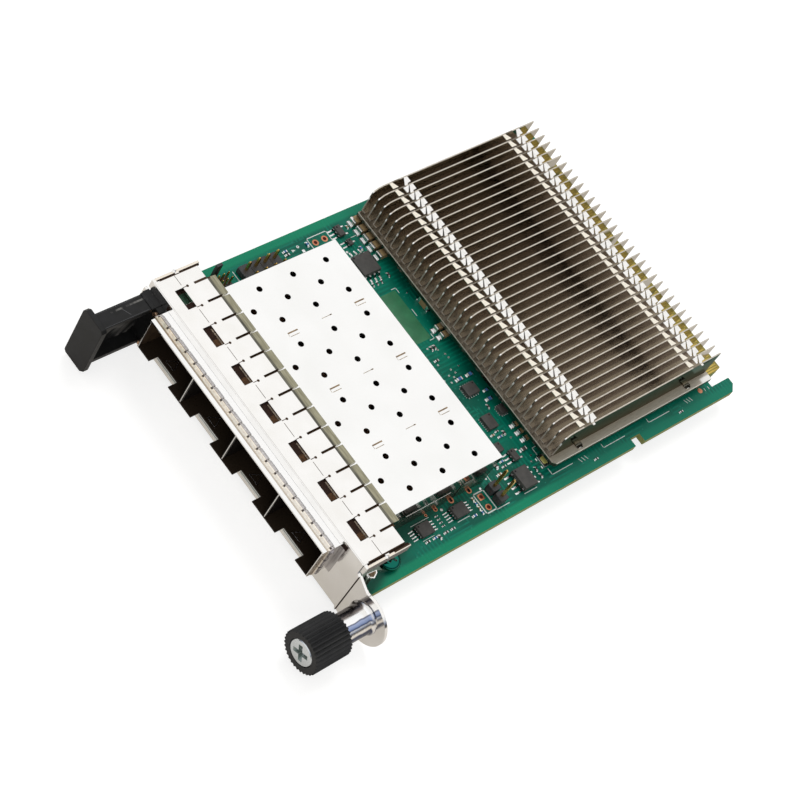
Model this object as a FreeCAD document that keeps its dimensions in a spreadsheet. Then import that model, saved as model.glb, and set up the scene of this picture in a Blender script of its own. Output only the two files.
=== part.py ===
import FreeCAD, Part
import Sketcher
import os
from FreeCAD import Placement, Rotation, Vector

# A server mezzanine network card: board, four-port cage, bracket with captive screw, finned heat sink.
# Frame: X across the board (captive screw at +X), Y from the front bracket to the edge contacts,
# Z up from the board's top face. Millimetres.

doc = FreeCAD.newDocument("mezzanine_network_card")
sheet = doc.addObject("Spreadsheet::Sheet", "dims")

DIMENSIONS = {
    # board
    "board_width": 76.0,
    "board_front": 0.5,
    "board_rear": 115.0,
    "board_thickness": 1.57,
    "ear_width": 3.25,
    "slot_width": 2.35,
    "slot_floor": 109.4,
    "tongue_bevel": 0.6,
    "ear_bevel": 1.6,
    "notch_start": 81.4,
    "notch_end": 84.3,
    "notch_depth": 2.0,
    "key_width": 2.0,
    "key_depth": 6.0,
    "key_one": -20.9,
    "key_two": 0.0,
    "key_three": 12.5,
    # cage
    "cage_centre": 0.3,
    "port_pitch": 14.25,
    "cage_front": -5.9,
    "cage_rear": 42.6,
    "cage_top": 10.26,
    "cage_low": 1.04,
    "sheet_thickness": 0.3,
    "cage_leg_front": 1.6,
    "vent_radius": 0.66,
    "vent_pitch": 9.0,
    "vent_front": 19.46,
    "vent_stagger": 4.5,
    "vent_side": 3.12,
    "vent_middle": 7.08,
    "vent_far": 11.05,
    "floor_rear": 31.0,
    "tab_width": 6.6,
    "tab_setback": 2.3,
    "tab_drop": 1.1,
    "connector_half": 6.1,
    "connector_length": 9.6,
    "connector_height": 6.3,
    "connector_gap": 0.6,
    "card_slot_half": 5.1,
    "card_slot_depth": 5.2,
    "card_slot_low": 3.7,
    "card_slot_high": 5.2,
    "connector_step_depth": 2.2,
    "connector_step_low": 0.8,
    "connector_step_high": 2.6,
    # bracket
    "plate_front": -0.8,
    "plate_thickness": 0.7,
    "plate_overhang": 1.5,
    "plate_bottom": -4.8,
    "hood_top": 11.0,
    "hood_thickness": 0.65,
    "hood_margin": 3.1,
    "hood_rear": 10.2,
    "lip_rear": 11.2,
    "lip_gap": 0.4,
    "lip_thickness": 0.5,
    "lip_low": 8.6,
    "window_count": 7,
    "window_inset_left": 3.32,
    "window_inset_right": 4.37,
    "window_width": 4.75,
    "window_front": 2.1,
    "window_rear": 4.2,
    "finger_rear": 12.6,
    "slit_width": 0.45,
    "slit_start": 7.1,
    "cage_window_half": 29.75,
    "cage_window_low": 0.55,
    "foot_thickness": 0.7,
    "foot_inset": 4.3,
    "foot_overhang": 1.3,
    "foot_neck": 1.7,
    "foot_neck_start": 4.0,
    "foot_neck_end": 8.4,
    "foot_pad": 2.4,
    "bracket_screw_inset": 0.9,
    "bracket_screw_y": 12.0,
    "bracket_screw_head": 2.3,
    # captive screw
    "screw_overhang": 6.2,
    "screw_z": 0.1,
    "ear_radius": 6.1,
    "ear_setback": 0.3,
    "ear_overhang": 0.7,
    "seat_relief": 0.1,
    "seat_clearance": 0.3,
    "barrel_radius": 3.25,
    "barrel_bore": 2.4,
    "barrel_length": 7.7,
    "barrel_lip": 0.6,
    "barrel_mouth": 1.6,
    "knob_front": -16.5,
    "knob_rear": -7.4,
    "knob_radius": 4.75,
    "knob_bore": 3.5,
    "knob_bore_depth": 6.0,
    "flute_radius": 0.26,
    "flute_count": 32,
    "head_radius": 2.95,
    "head_height": 2.2,
    "shank_radius": 1.25,
    "shank_tip": 0.2,
    "ring_inner": 1.55,
    "ring_outer": 2.08,
    "ring_thickness": 0.6,
    "spring_radius": 1.83,
    "spring_wire": 0.2,
    "spring_turns": 4.0,
    # pull tab
    "pull_overhang": 1.5,
    "pull_width": 6.3,
    "pull_front": -16.2,
    "pull_plate": 1.2,
    "pull_low": -5.15,
    "pull_high": 9.5,
    "arm_inset": 0.1,
    "arm_width": 3.9,
    "arm_wall": 1.1,
    "arm_low": -3.6,
    "arm_high": 8.8,
    "pull_foot_overhang": 0.4,
    "pull_foot_width": 5.8,
    "pull_foot_thickness": 1.5,
    "stake_radius": 0.6,
    "stake_inset": 0.7,
    "stake_length": 0.45,
    # gasket
    "gasket_thickness": 0.15,
    "gasket_front": -4.9,
    "gasket_rear": -1.0,
    "gasket_finger": 2.55,
    "gasket_pitch": 3.0,
    "gasket_rise": 0.42,
    "lip_clearance": 0.2,
    # heat sink
    "sink_inset_left": 3.1,
    "sink_inset_right": 4.1,
    "sink_front": 57.9,
    "sink_rear": 107.9,
    "sink_low": 2.0,
    "sink_high": 3.1,
    "fin_count": 34,
    "fin_inset_left": 2.95,
    "fin_inset_right": 6.11,
    "fin_thickness": 0.28,
    "fin_front": 59.0,
    "fin_rear": 107.5,
    "fin_high": 10.6,
    "fin_foot": 1.2,
    "fin_nose_run": 2.6,
    "fin_nose_drop": 1.1,
    "band_front_one": 63.1,
    "band_front_two": 97.5,
    "band_length": 5.2,
    "tab_thickness": 0.22,
    "sink_screw_inset": 8.5,
    "sink_screw_front": 62.0,
    "sink_screw_rear": 103.5,
    # controller
    "chip_half": 12.5,
    "chip_y": 82.0,
    "chip_high": 1.55,
    # leadless chips on the board
    "leadless_height": 0.9,
    "leadless_foot": 0.2,
    "leadless_inset": 0.03,
    "regulator_one_x": 9.0,
    "regulator_one_y": 53.0,
    "regulator_one_width": 2.8,
    "regulator_one_length": 3.3,
    "regulator_two_x": 16.8,
    "regulator_two_y": 52.0,
    "regulator_two_width": 3.4,
    "regulator_two_length": 2.6,
    "buffer_one_x": 16.3,
    "buffer_one_y": 57.2,
    "buffer_one_width": 2.1,
    "buffer_one_length": 2.1,
    "buffer_two_x": 23.2,
    "buffer_two_y": 50.2,
    "buffer_two_width": 2.1,
    "buffer_two_length": 1.6,
    "crystal_x": 29.8,
    "crystal_y": 57.4,
    "crystal_width": 2.8,
    "crystal_length": 2.2,
}

for row, (alias, value) in enumerate(DIMENSIONS.items(), start=1):
    sheet.set(f"A{row}", alias)
    sheet.set(f"B{row}", str(value))
    sheet.setAlias(f"B{row}", alias)
doc.recompute()


class Size:
    """A length, with the sheet expression that gives it."""

    def __init__(self, value, text):
        self.value = float(value)
        self.text = text

    def _join(self, other, sign, value):
        return Size(value, f"({self.text} {sign} {size(other).text})")

    def __add__(self, other):
        return self._join(other, "+", self.value + size(other).value)

    def __sub__(self, other):
        return self._join(other, "-", self.value - size(other).value)

    def __mul__(self, other):
        return self._join(other, "*", self.value * size(other).value)

    def __truediv__(self, other):
        return self._join(other, "/", self.value / size(other).value)

    def __neg__(self):
        return Size(-self.value, f"(0 - {self.text})")


def size(item):
    if isinstance(item, Size):
        return item
    return Size(item, repr(float(item)))


def dim(alias):
    return Size(float(sheet.get(alias)), f"dims.{alias}")


def num(alias):
    return float(sheet.get(alias))


def bind(obj, prop, item):
    item = size(item)
    if not prop.startswith(".") and "[" not in prop:
        setattr(obj, prop, item.value)
    obj.setExpression(prop, item.text)


def place(obj, x=0, y=0, z=0):
    spot = [size(item) for item in (x, y, z)]
    obj.Placement = Placement(Vector(*[item.value for item in spot]), obj.Placement.Rotation)
    for letter, item in zip("xyz", spot):
        obj.setExpression(f".Placement.Base.{letter}", item.text)


nodes = []


def node(obj, label):
    obj.Label = label
    nodes.append(obj)
    return obj


def box(name, x0, x1, y0, y1, z0, z1):
    low = [size(item) for item in (x0, y0, z0)]
    high = [size(item) for item in (x1, y1, z1)]
    obj = doc.addObject("Part::Box", name)
    for prop, first, last in zip(("Length", "Width", "Height"), low, high):
        bind(obj, prop, last - first)
    place(obj, *low)
    return obj


AXIS_TURN = {
    "z": Rotation(),
    "y": Rotation(Vector(1, 0, 0), -90),
    "x": Rotation(Vector(0, 1, 0), 90),
}


def cylinder(name, radius, length, x, y, z, axis="z"):
    obj = doc.addObject("Part::Cylinder", name)
    bind(obj, "Radius", radius)
    bind(obj, "Height", length)
    obj.Placement = Placement(Vector(), AXIS_TURN[axis])
    place(obj, x, y, z)
    return obj


def fuse(name, items):
    obj = doc.addObject("Part::MultiFuse", name)
    obj.Shapes = items
    obj.Refine = True
    return obj


def cut(name, base, tool):
    obj = doc.addObject("Part::Cut", name)
    obj.Base = base
    obj.Tool = tool
    obj.Refine = True
    return obj


def group(label, shapes):
    """Identical separate pieces held as one node."""
    obj = doc.addObject("Part::Feature", label + "_shape")
    obj.Shape = Part.makeCompound(shapes)
    obj.Placement = Placement()
    return node(obj, label)


def block(x0, x1, y0, y1, z0, z1):
    return Part.makeBox(x1 - x0, y1 - y0, z1 - z0, Vector(x0, y0, z0))


def rod(radius, length, x, y, z, axis=(0, 0, 1)):
    return Part.makeCylinder(radius, length, Vector(x, y, z), Vector(*axis))


# Sketch planes: the origin plane, the offset letter along its normal, and the drawing axes.
def body(name):
    return doc.addObject("PartDesign::Body", name)


def origin_plane(owner, role):
    for feature in owner.Origin.OriginFeatures:
        if feature.Role == role:
            return feature
    raise ValueError(role)


def sketch(owner, name, role, offset):
    obj = owner.newObject("Sketcher::SketchObject", name)
    obj.AttachmentSupport = (origin_plane(owner, role), [""])
    obj.MapMode = "FlatFace"
    level = size(offset)
    obj.AttachmentOffset = Placement(Vector(0, 0, level.value), Rotation())
    obj.setExpression(".AttachmentOffset.Base.z", level.text)
    return obj


def pin_point(obj, geometry, point, across, up):
    for kind, axis, item in (("DistanceX", -2, across), ("DistanceY", -1, up)):
        item = size(item)
        if abs(item.value) < 1e-9:
            obj.addConstraint(Sketcher.Constraint("PointOnObject", geometry, point, axis))
            continue
        index = obj.addConstraint(Sketcher.Constraint(kind, -1, 1, geometry, point, item.value))
        obj.setExpression(f"Constraints[{index}]", item.text)


def polygon(obj, points):
    points = [(size(across), size(up)) for across, up in points]
    count = len(points)
    first = obj.GeometryCount
    for index in range(count):
        start = points[index]
        end = points[(index + 1) % count]
        line = Part.LineSegment(
            Vector(start[0].value, start[1].value, 0), Vector(end[0].value, end[1].value, 0)
        )
        obj.addGeometry(line, False)
    for index in range(count):
        following = first + (index + 1) % count
        obj.addConstraint(Sketcher.Constraint("Coincident", first + index, 2, following, 1))
    for index, (across, up) in enumerate(points):
        pin_point(obj, first + index, 1, across, up)
    return obj


def rectangle(obj, x0, x1, y0, y1):
    return polygon(obj, [(x0, y0), (x1, y0), (x1, y1), (x0, y1)])


def circle(obj, across, up, radius):
    across, up, radius = size(across), size(up), size(radius)
    ring = Part.Circle(Vector(across.value, up.value, 0), Vector(0, 0, 1), radius.value)
    index = obj.addGeometry(ring, False)
    pin_point(obj, index, 3, across, up)
    spot = obj.addConstraint(Sketcher.Constraint("Radius", index, radius.value))
    obj.setExpression(f"Constraints[{spot}]", radius.text)
    return obj


def pad(owner, profile, length, reverse=False):
    obj = owner.newObject("PartDesign::Pad", profile.Name + "_pad")
    obj.Profile = profile
    obj.Reversed = reverse
    bind(obj, "Length", length)
    doc.recompute()
    return obj


def pocket(owner, profile, length, reverse=False):
    before = owner.Shape.Volume
    obj = owner.newObject("PartDesign::Pocket", profile.Name + "_pocket")
    obj.Profile = profile
    obj.Reversed = reverse
    bind(obj, "Length", length)
    doc.recompute()
    if owner.Shape.Volume >= before - 1e-6:
        raise RuntimeError(f"{obj.Name} cut nothing")
    return obj


def linear_pattern(owner, feature, name, length, count):
    obj = owner.newObject("PartDesign::LinearPattern", name)
    obj.Originals = [feature]
    obj.Direction = (feature.Profile[0], ["H_Axis"])
    bind(obj, "Length", length)
    obj.Occurrences = count
    owner.Tip = obj
    doc.recompute()
    return obj


# Board
half_board = dim("board_width") / 2
board = body("board_body")
outline = sketch(board, "board_outline", "XY_Plane", -dim("board_thickness"))
outer = half_board - dim("ear_width")
tongue = outer - dim("slot_width")
hood_half = half_board - dim("hood_margin")
bracket_screw_x = hood_half - dim("bracket_screw_inset")
sink_screw_x = half_board - dim("sink_screw_inset")
rear = dim("board_rear")
left_side = [
    (-half_board, rear - dim("ear_bevel")),
    (-half_board, dim("board_front")),
]
right_side = [
    (half_board, dim("board_front")),
    (half_board, dim("notch_start")),
    (half_board - dim("notch_depth"), dim("notch_start")),
    (half_board - dim("notch_depth"), dim("notch_end")),
    (half_board, dim("notch_end")),
    (half_board, rear - dim("ear_bevel")),
    (half_board - dim("ear_bevel"), rear),
    (outer, rear),
    (outer, dim("slot_floor")),
    (tongue, dim("slot_floor")),
    (tongue, rear - 2.7),
    (tongue - dim("tongue_bevel"), rear),
]
rear_left = [
    (-tongue + dim("tongue_bevel"), rear),
    (-tongue, rear - 2.7),
    (-tongue, dim("slot_floor")),
    (-outer, dim("slot_floor")),
    (-outer, rear),
    (-half_board + dim("ear_bevel"), rear),
]
polygon(outline, left_side + right_side + rear_left)
pad(board, outline, dim("board_thickness"))
keys = sketch(board, "key_slots", "XY_Plane", 0)
for alias in ("key_one", "key_two", "key_three"):
    centre = dim(alias)
    rectangle(
        keys,
        centre - dim("key_width") / 2,
        centre + dim("key_width") / 2,
        rear - dim("key_depth"),
        rear + 1,
    )
pocket(board, keys, dim("board_thickness"))
drills = sketch(board, "board_drills", "XY_Plane", 0)
for side in (-1, 1):
    circle(drills, bracket_screw_x * side, dim("bracket_screw_y"), 1.5)
    circle(drills, sink_screw_x * side, dim("sink_screw_front"), 1.4)
    circle(drills, sink_screw_x * side, dim("sink_screw_rear"), 1.4)
pocket(board, drills, dim("board_thickness"))
node(board, "circuit_board")

# Bracket: front plate, hood over the cage, rear spring fingers and two feet, folded from one sheet.
plate_rear = dim("plate_front") + dim("plate_thickness")
plate_left = -(hood_half + dim("plate_overhang"))
ear_start = hood_half + dim("ear_overhang")
screw_x = hood_half + dim("screw_overhang")
screw_z = dim("screw_z")
window_first = -hood_half + dim("window_inset_left")
window_run = hood_half * 2 - dim("window_inset_left") - dim("window_inset_right")
window_pitch = (window_run - dim("window_width")) / (dim("window_count") - 1)
bracket = body("bracket_body")
face = sketch(bracket, "front_plate", "XZ_Plane", -plate_rear)
polygon(
    face,
    [
        (plate_left, dim("plate_bottom")),
        (ear_start - 0.6, dim("plate_bottom")),
        (ear_start, dim("plate_bottom") - 0.85),
        (ear_start, 7.5),
        (hood_half, 7.9),
        (hood_half, dim("hood_top")),
        (-hood_half, dim("hood_top")),
        (-hood_half, 7.9),
        (plate_left, 7.6),
    ],
)
pad(bracket, face, dim("plate_thickness"))
ear = sketch(bracket, "ear_panel", "XZ_Plane", -(plate_rear + dim("ear_setback")))
polygon(
    ear,
    [
        (ear_start - 0.6, dim("plate_bottom") - 0.2),
        (ear_start, dim("plate_bottom") - 0.85),
        (screw_x, dim("screw_z") - dim("ear_radius")),
        (screw_x, dim("screw_z") + dim("ear_radius")),
        (screw_x - 2.4, dim("screw_z") + dim("ear_radius") - 0.35),
        (ear_start, 7.5),
        (ear_start - 0.6, 7.3),
    ],
)
pad(bracket, ear, dim("plate_thickness"))
disc = sketch(bracket, "ear_disc", "XZ_Plane", -(plate_rear + dim("ear_setback")))
circle(disc, screw_x, screw_z, dim("ear_radius"))
pad(bracket, disc, dim("plate_thickness"))
seat = sketch(bracket, "seat_relief", "XZ_Plane", -(plate_rear + dim("ear_setback")))
rectangle(
    seat,
    ear_start - 1,
    half_board + dim("seat_clearance"),
    screw_z - dim("ear_radius") * 2,
    dim("hood_top"),
)
pocket(bracket, seat, dim("seat_relief"), reverse=True)
hood_low = dim("hood_top") - dim("hood_thickness")
hood = sketch(bracket, "hood_panel", "XY_Plane", hood_low)
rectangle(
    hood,
    -hood_half,
    hood_half,
    dim("plate_front") + 0.2,
    dim("hood_rear"),
)
pad(bracket, hood, dim("hood_thickness"))
lips = sketch(bracket, "side_lips", "XY_Plane", dim("lip_low"))
for side in (-1, 1):
    inner_edge = (hood_half + dim("lip_gap")) * side
    outer_edge = (hood_half + dim("lip_gap") + dim("lip_thickness")) * side
    mid = dim("lip_rear") / 2 - 0.2
    inside = (hood_half - 0.4) * side
    front = plate_rear - 0.4
    corner = [
        (inside, front),
        (outer_edge, front),
        (outer_edge, dim("lip_rear")),
        (inner_edge, dim("lip_rear")),
        (inner_edge, mid + 0.5),
        (inside, mid + 0.5),
        (inside, mid - 0.5),
        (inner_edge, mid - 0.5),
        (inner_edge, plate_rear + 0.35),
        (inside, plate_rear + 0.35),
    ]
    polygon(lips, corner)
pad(bracket, lips, dim("hood_top") - dim("lip_low") - 0.25)
feet = sketch(bracket, "bracket_feet", "XY_Plane", 0)
for side in (-1, 1):
    inner_edge = (hood_half - dim("foot_inset")) * side
    outer_edge = (hood_half + dim("foot_overhang")) * side
    neck = (hood_half + dim("foot_overhang") - dim("foot_neck")) * side
    pad_rear = dim("bracket_screw_y") + dim("foot_pad")
    pad_outer = (bracket_screw_x + dim("foot_pad") * 0.6) * side
    outline = [
        (inner_edge, plate_rear - 0.3),
        (outer_edge, plate_rear - 0.3),
        (outer_edge, dim("foot_neck_start")),
        (neck, dim("foot_neck_end")),
        (pad_outer, dim("bracket_screw_y") - dim("foot_pad") * 0.6),
        (pad_outer, pad_rear - dim("foot_pad") * 0.4),
        (bracket_screw_x * side, pad_rear),
        (inner_edge, pad_rear),
    ]
    polygon(feet, outline)
pad(bracket, feet, dim("foot_thickness"))
opening = sketch(bracket, "cage_window", "XZ_Plane", -plate_rear - 0.02)
rectangle(
    opening,
    dim("cage_centre") - dim("cage_window_half") + 0.35,
    dim("cage_centre") + dim("cage_window_half") - 0.35,
    dim("cage_window_low"),
    hood_low,
)
pocket(bracket, opening, dim("plate_thickness") + 0.04, reverse=True)
windows = sketch(bracket, "hood_windows", "XY_Plane", dim("hood_top"))
for index in range(int(num("window_count"))):
    start = window_first + window_pitch * index
    rectangle(
        windows, start, start + dim("window_width"), dim("window_front"), dim("window_rear")
    )
pocket(bracket, windows, dim("hood_thickness"))
slits = sketch(bracket, "finger_slits", "XY_Plane", dim("hood_top"))
half_slit = dim("slit_width") / 2
for index in range(1, int(num("window_count")) * 2):
    centre = window_first + window_pitch * index / 2
    rectangle(
        slits, centre - half_slit, centre + half_slit, dim("slit_start"), dim("hood_rear") + 1
    )
pocket(bracket, slits, dim("hood_thickness"))
ramps = sketch(bracket, "finger_ramp", "YZ_Plane", window_first)
cage_gap = dim("cage_top") + 0.05
polygon(
    ramps,
    [
        (dim("hood_rear") - 0.6, hood_low),
        (dim("hood_rear") - 0.6, dim("hood_top")),
        (dim("hood_rear"), dim("hood_top")),
        (dim("finger_rear"), cage_gap + 0.3),
        (dim("finger_rear"), cage_gap),
        (dim("hood_rear") + 0.2, cage_gap),
    ],
)
pad(bracket, ramps, window_pitch * (dim("window_count") - 0.5))
comb = sketch(bracket, "ramp_slits", "XY_Plane", dim("hood_top") + 0.5)
for index in range(1, int(num("window_count")) * 2):
    centre = window_first + window_pitch * index / 2
    rectangle(
        comb, centre - half_slit, centre + half_slit, dim("hood_rear") - 1.2, dim("finger_rear") + 1
    )
pocket(bracket, comb, 2)
holes = sketch(bracket, "foot_holes", "XY_Plane", dim("foot_thickness"))
for side in (-1, 1):
    circle(holes, bracket_screw_x * side, dim("bracket_screw_y"), 1.45)
pocket(bracket, holes, dim("foot_thickness"))
ear_hole = sketch(bracket, "ear_hole", "XZ_Plane", -(plate_rear + dim("ear_setback")) - 0.1)
circle(ear_hole, screw_x, dim("screw_z"), dim("barrel_mouth"))
pocket(bracket, ear_hole, dim("plate_thickness") + 0.2, reverse=True)
node(bracket, "front_bracket")


def screw_on_board(index, x):
    head_low = num("foot_thickness")
    y = num("bracket_screw_y")
    head = rod(num("bracket_screw_head"), 1.3, x, y, head_low)
    shank = rod(1.15, 2.6 + head_low, x, y, -2.6)
    recess = block(x - 1.5, x + 1.5, y - 0.3, y + 0.3, head_low + 0.7, head_low + 2)
    cross = block(x - 0.3, x + 0.3, y - 1.5, y + 1.5, head_low + 0.7, head_low + 2)
    shape = head.fuse(shank).cut(recess).cut(cross).removeSplitter()
    obj = doc.addObject("Part::Feature", f"bracket_screw_shape_{index}")
    obj.Shape = shape
    obj.Placement = Placement()
    return node(obj, f"bracket_screw_{index}")


screw_on_board(1, bracket_screw_x.value)
screw_on_board(2, -bracket_screw_x.value)

# Captive screw: barrel, spring, retaining ring, screw and knob on one axis along Y.
ear_face = dim("plate_front") + dim("ear_setback")
barrel_front = ear_face - dim("barrel_length")
barrel_outer = cylinder(
    "barrel_outer", dim("barrel_radius"), dim("barrel_length"), screw_x, barrel_front, screw_z, "y"
)
barrel_bore = cylinder(
    "barrel_bore",
    dim("barrel_bore"),
    dim("barrel_length"),
    screw_x,
    barrel_front + dim("barrel_lip"),
    screw_z,
    "y",
)
barrel_mouth = cylinder(
    "barrel_mouth", dim("barrel_mouth"), dim("barrel_lip") * 2, screw_x, barrel_front - 0.1, screw_z, "y"
)
barrel = cut("barrel", barrel_outer, fuse("barrel_hollow", [barrel_bore, barrel_mouth]))
node(barrel, "thumbscrew_ferrule")

ring_front = barrel_front + dim("barrel_lip")
ring_body = cylinder(
    "ring_body", dim("ring_outer"), dim("ring_thickness"), screw_x, ring_front, screw_z, "y"
)
ring_hole = cylinder(
    "ring_hole", dim("ring_inner"), dim("ring_thickness") * 2, screw_x, ring_front - 0.1, screw_z, "y"
)
node(cut("ring", ring_body, ring_hole), "thumbscrew_retaining_ring")


def coil(radius, wire, pitch, turns, x, y, z):
    """A coil along +Y whose wire starts at the given point of its axis."""
    height = pitch * turns
    path = Part.makeHelix(pitch, height, radius)
    ring = Part.Circle(Vector(radius, 0, 0), Vector(0, 1, 0), wire)
    profile = Part.Wire([ring.toShape()])
    shape = Part.Wire(path.Edges).makePipeShell([profile], True, True)
    shape.rotate(Vector(), Vector(1, 0, 0), -90)
    shape.translate(Vector(x, y, z))
    return shape


spring_front = ring_front.value + num("ring_thickness") + num("spring_wire")
spring_rear = ear_face.value - num("spring_wire")
spring_pitch = (spring_rear - spring_front) / num("spring_turns")
spring = doc.addObject("Part::Feature", "spring_coil")
spring.Shape = coil(
    num("spring_radius"),
    num("spring_wire"),
    spring_pitch,
    num("spring_turns"),
    screw_x.value,
    spring_front,
    num("screw_z"),
)
node(spring, "thumbscrew_spring")

knob = body("knob_body")
knob_section = sketch(knob, "knob_section", "XY_Plane", 0)
bore_floor = dim("knob_rear") - dim("knob_bore_depth")
head_floor = dim("knob_front") + dim("head_height") - 0.1
polygon(
    knob_section,
    [
        (dim("shank_radius") + 0.05, head_floor),
        (dim("head_radius") + 0.05, head_floor),
        (dim("head_radius") + 0.05, dim("knob_front")),
        (dim("knob_radius") - 0.5, dim("knob_front")),
        (dim("knob_radius"), dim("knob_front") + 0.5),
        (dim("knob_radius"), dim("knob_rear") - 0.5),
        (dim("knob_radius") - 0.5, dim("knob_rear")),
        (dim("knob_bore"), dim("knob_rear")),
        (dim("knob_bore"), bore_floor),
        (dim("shank_radius") + 0.05, bore_floor),
    ],
)
turned = knob.newObject("PartDesign::Revolution", "knob_turned")
turned.Profile = knob_section
turned.ReferenceAxis = (knob_section, ["V_Axis"])
turned.Angle = 360
doc.recompute()
groove = sketch(knob, "knob_groove", "XZ_Plane", -dim("knob_rear") - 0.1)
circle(groove, 0, dim("knob_radius") + 0.06, dim("flute_radius"))
flute = pocket(knob, groove, dim("knob_rear") - dim("knob_front") - 0.7, reverse=True)
flutes = knob.newObject("PartDesign::PolarPattern", "knob_flutes")
flutes.Originals = [flute]
flutes.Axis = (groove, ["N_Axis"])
flutes.Angle = 360
flutes.Occurrences = int(num("flute_count"))
knob.Tip = flutes
doc.recompute()
place(knob, screw_x, 0, screw_z)
node(knob, "thumbscrew_knob")

head_front = dim("knob_front") - 0.1
screw_head = cylinder(
    "screw_head", dim("head_radius"), dim("head_height"), screw_x, head_front, screw_z, "y"
)
screw_shank = cylinder(
    "screw_shank",
    dim("shank_radius"),
    dim("shank_tip") - dim("knob_front"),
    screw_x,
    dim("knob_front"),
    screw_z,
    "y",
)
cross_one = box(
    "cross_one",
    screw_x - 1.75,
    screw_x + 1.75,
    head_front - 0.1,
    head_front + 1.3,
    screw_z - 0.38,
    screw_z + 0.38,
)
cross_two = box(
    "cross_two",
    screw_x - 0.38,
    screw_x + 0.38,
    head_front - 0.1,
    head_front + 1.3,
    screw_z - 1.75,
    screw_z + 1.75,
)
screw = cut(
    "captive_screw",
    fuse("captive_blank", [screw_head, screw_shank]),
    fuse("captive_cross", [cross_one, cross_two]),
)
node(screw, "thumbscrew_screw")

# Pull tab: an end plate on a channel-shaped arm with a foot against the bracket.
tab = body("pull_tab_body")
tab_plate = sketch(tab, "tab_plate", "XZ_Plane", -dim("pull_front") - dim("pull_plate"))
left = -(hood_half + dim("pull_overhang"))
right = left + dim("pull_width")
low = dim("pull_low")
high = dim("pull_high")
polygon(
    tab_plate,
    [
        (left + 0.5, low),
        (right - 0.9, low),
        (right, low + 0.9),
        (right, high - 0.7),
        (right - 0.5, high),
        (left + 0.7, high),
        (left, high - 0.7),
        (left, low + 0.5),
    ],
)
pad(tab, tab_plate, dim("pull_plate"))
foot_rear = dim("plate_front")
foot_left = -(hood_half + dim("pull_foot_overhang"))
foot_right = foot_left + dim("pull_foot_width")
tab_foot = sketch(tab, "tab_foot", "XZ_Plane", -foot_rear)
rectangle(
    tab_foot,
    foot_left,
    foot_right,
    dim("arm_low") - 0.4,
    dim("arm_high") - 0.2,
)
pad(tab, tab_foot, dim("pull_foot_thickness"))
tab_arm = sketch(tab, "tab_arm", "XZ_Plane", -foot_rear)
wall = dim("arm_wall")
arm_left = -hood_half + dim("arm_inset")
arm_right = arm_left + dim("arm_width")
polygon(
    tab_arm,
    [
        (arm_left, dim("arm_low")),
        (arm_right, dim("arm_low")),
        (arm_right, dim("arm_low") + wall),
        (arm_left + wall, dim("arm_low") + wall),
        (arm_left + wall, dim("arm_high") - wall),
        (arm_right, dim("arm_high") - wall),
        (arm_right, dim("arm_high")),
        (arm_left, dim("arm_high")),
    ],
)
pad(tab, tab_arm, foot_rear - dim("pull_front") - 0.2)
eyelet = sketch(tab, "tab_eyelet", "YZ_Plane", arm_left - 0.5)
circle(eyelet, dim("pull_front") + 3.8, -0.2, 0.9)
pocket(tab, eyelet, wall + 1, reverse=True)
node(tab, "pull_tab")


def stake(z):
    x = foot_right.value - num("stake_inset")
    length = num("stake_length")
    front = num("plate_front") - num("pull_foot_thickness")
    return rod(num("stake_radius"), length, x, front - length, z, (0, 1, 0))


group("pull_tab_rivets", [stake(num("arm_high") - 1.3), stake(num("arm_low") + 0.9)])

# Port cage
centre = dim("cage_centre")
half_cage = dim("port_pitch") * 2 + dim("sheet_thickness") / 2
thin = dim("sheet_thickness")
shell = body("cage_body")
for name, front, back, base in (
    ("cage_nose", dim("cage_front"), dim("cage_leg_front"), dim("cage_low")),
    ("cage_main", dim("cage_leg_front"), dim("cage_rear"), size(0)),
):
    profile = sketch(shell, name, "XZ_Plane", -back)
    polygon(
        profile,
        [
            (centre - half_cage, base),
            (centre - half_cage + thin, base),
            (centre - half_cage + thin, dim("cage_top") - thin),
            (centre + half_cage - thin, dim("cage_top") - thin),
            (centre + half_cage - thin, base),
            (centre + half_cage, base),
            (centre + half_cage, dim("cage_top")),
            (centre - half_cage, dim("cage_top")),
        ],
    )
    pad(shell, profile, back - front)
back_wall = sketch(shell, "cage_back", "XZ_Plane", -dim("cage_rear"))
rectangle(back_wall, centre - half_cage, centre + half_cage, 0, dim("cage_top"))
pad(shell, back_wall, thin)
vents = sketch(shell, "cage_vents", "XY_Plane", dim("cage_top"))
first_port = centre - dim("port_pitch") * 2
for alias, shift in (("vent_side", 0), ("vent_middle", -1), ("vent_far", 0)):
    for step in range(3):
        across = first_port + dim(alias)
        along = dim("vent_front") + dim("vent_stagger") * shift + dim("vent_pitch") * step
        circle(vents, across, along, dim("vent_radius"))
vent_pocket = pocket(shell, vents, thin)
linear_pattern(shell, vent_pocket, "vent_ports", dim("port_pitch") * 3, 4)
node(shell, "cage_shell")

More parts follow.
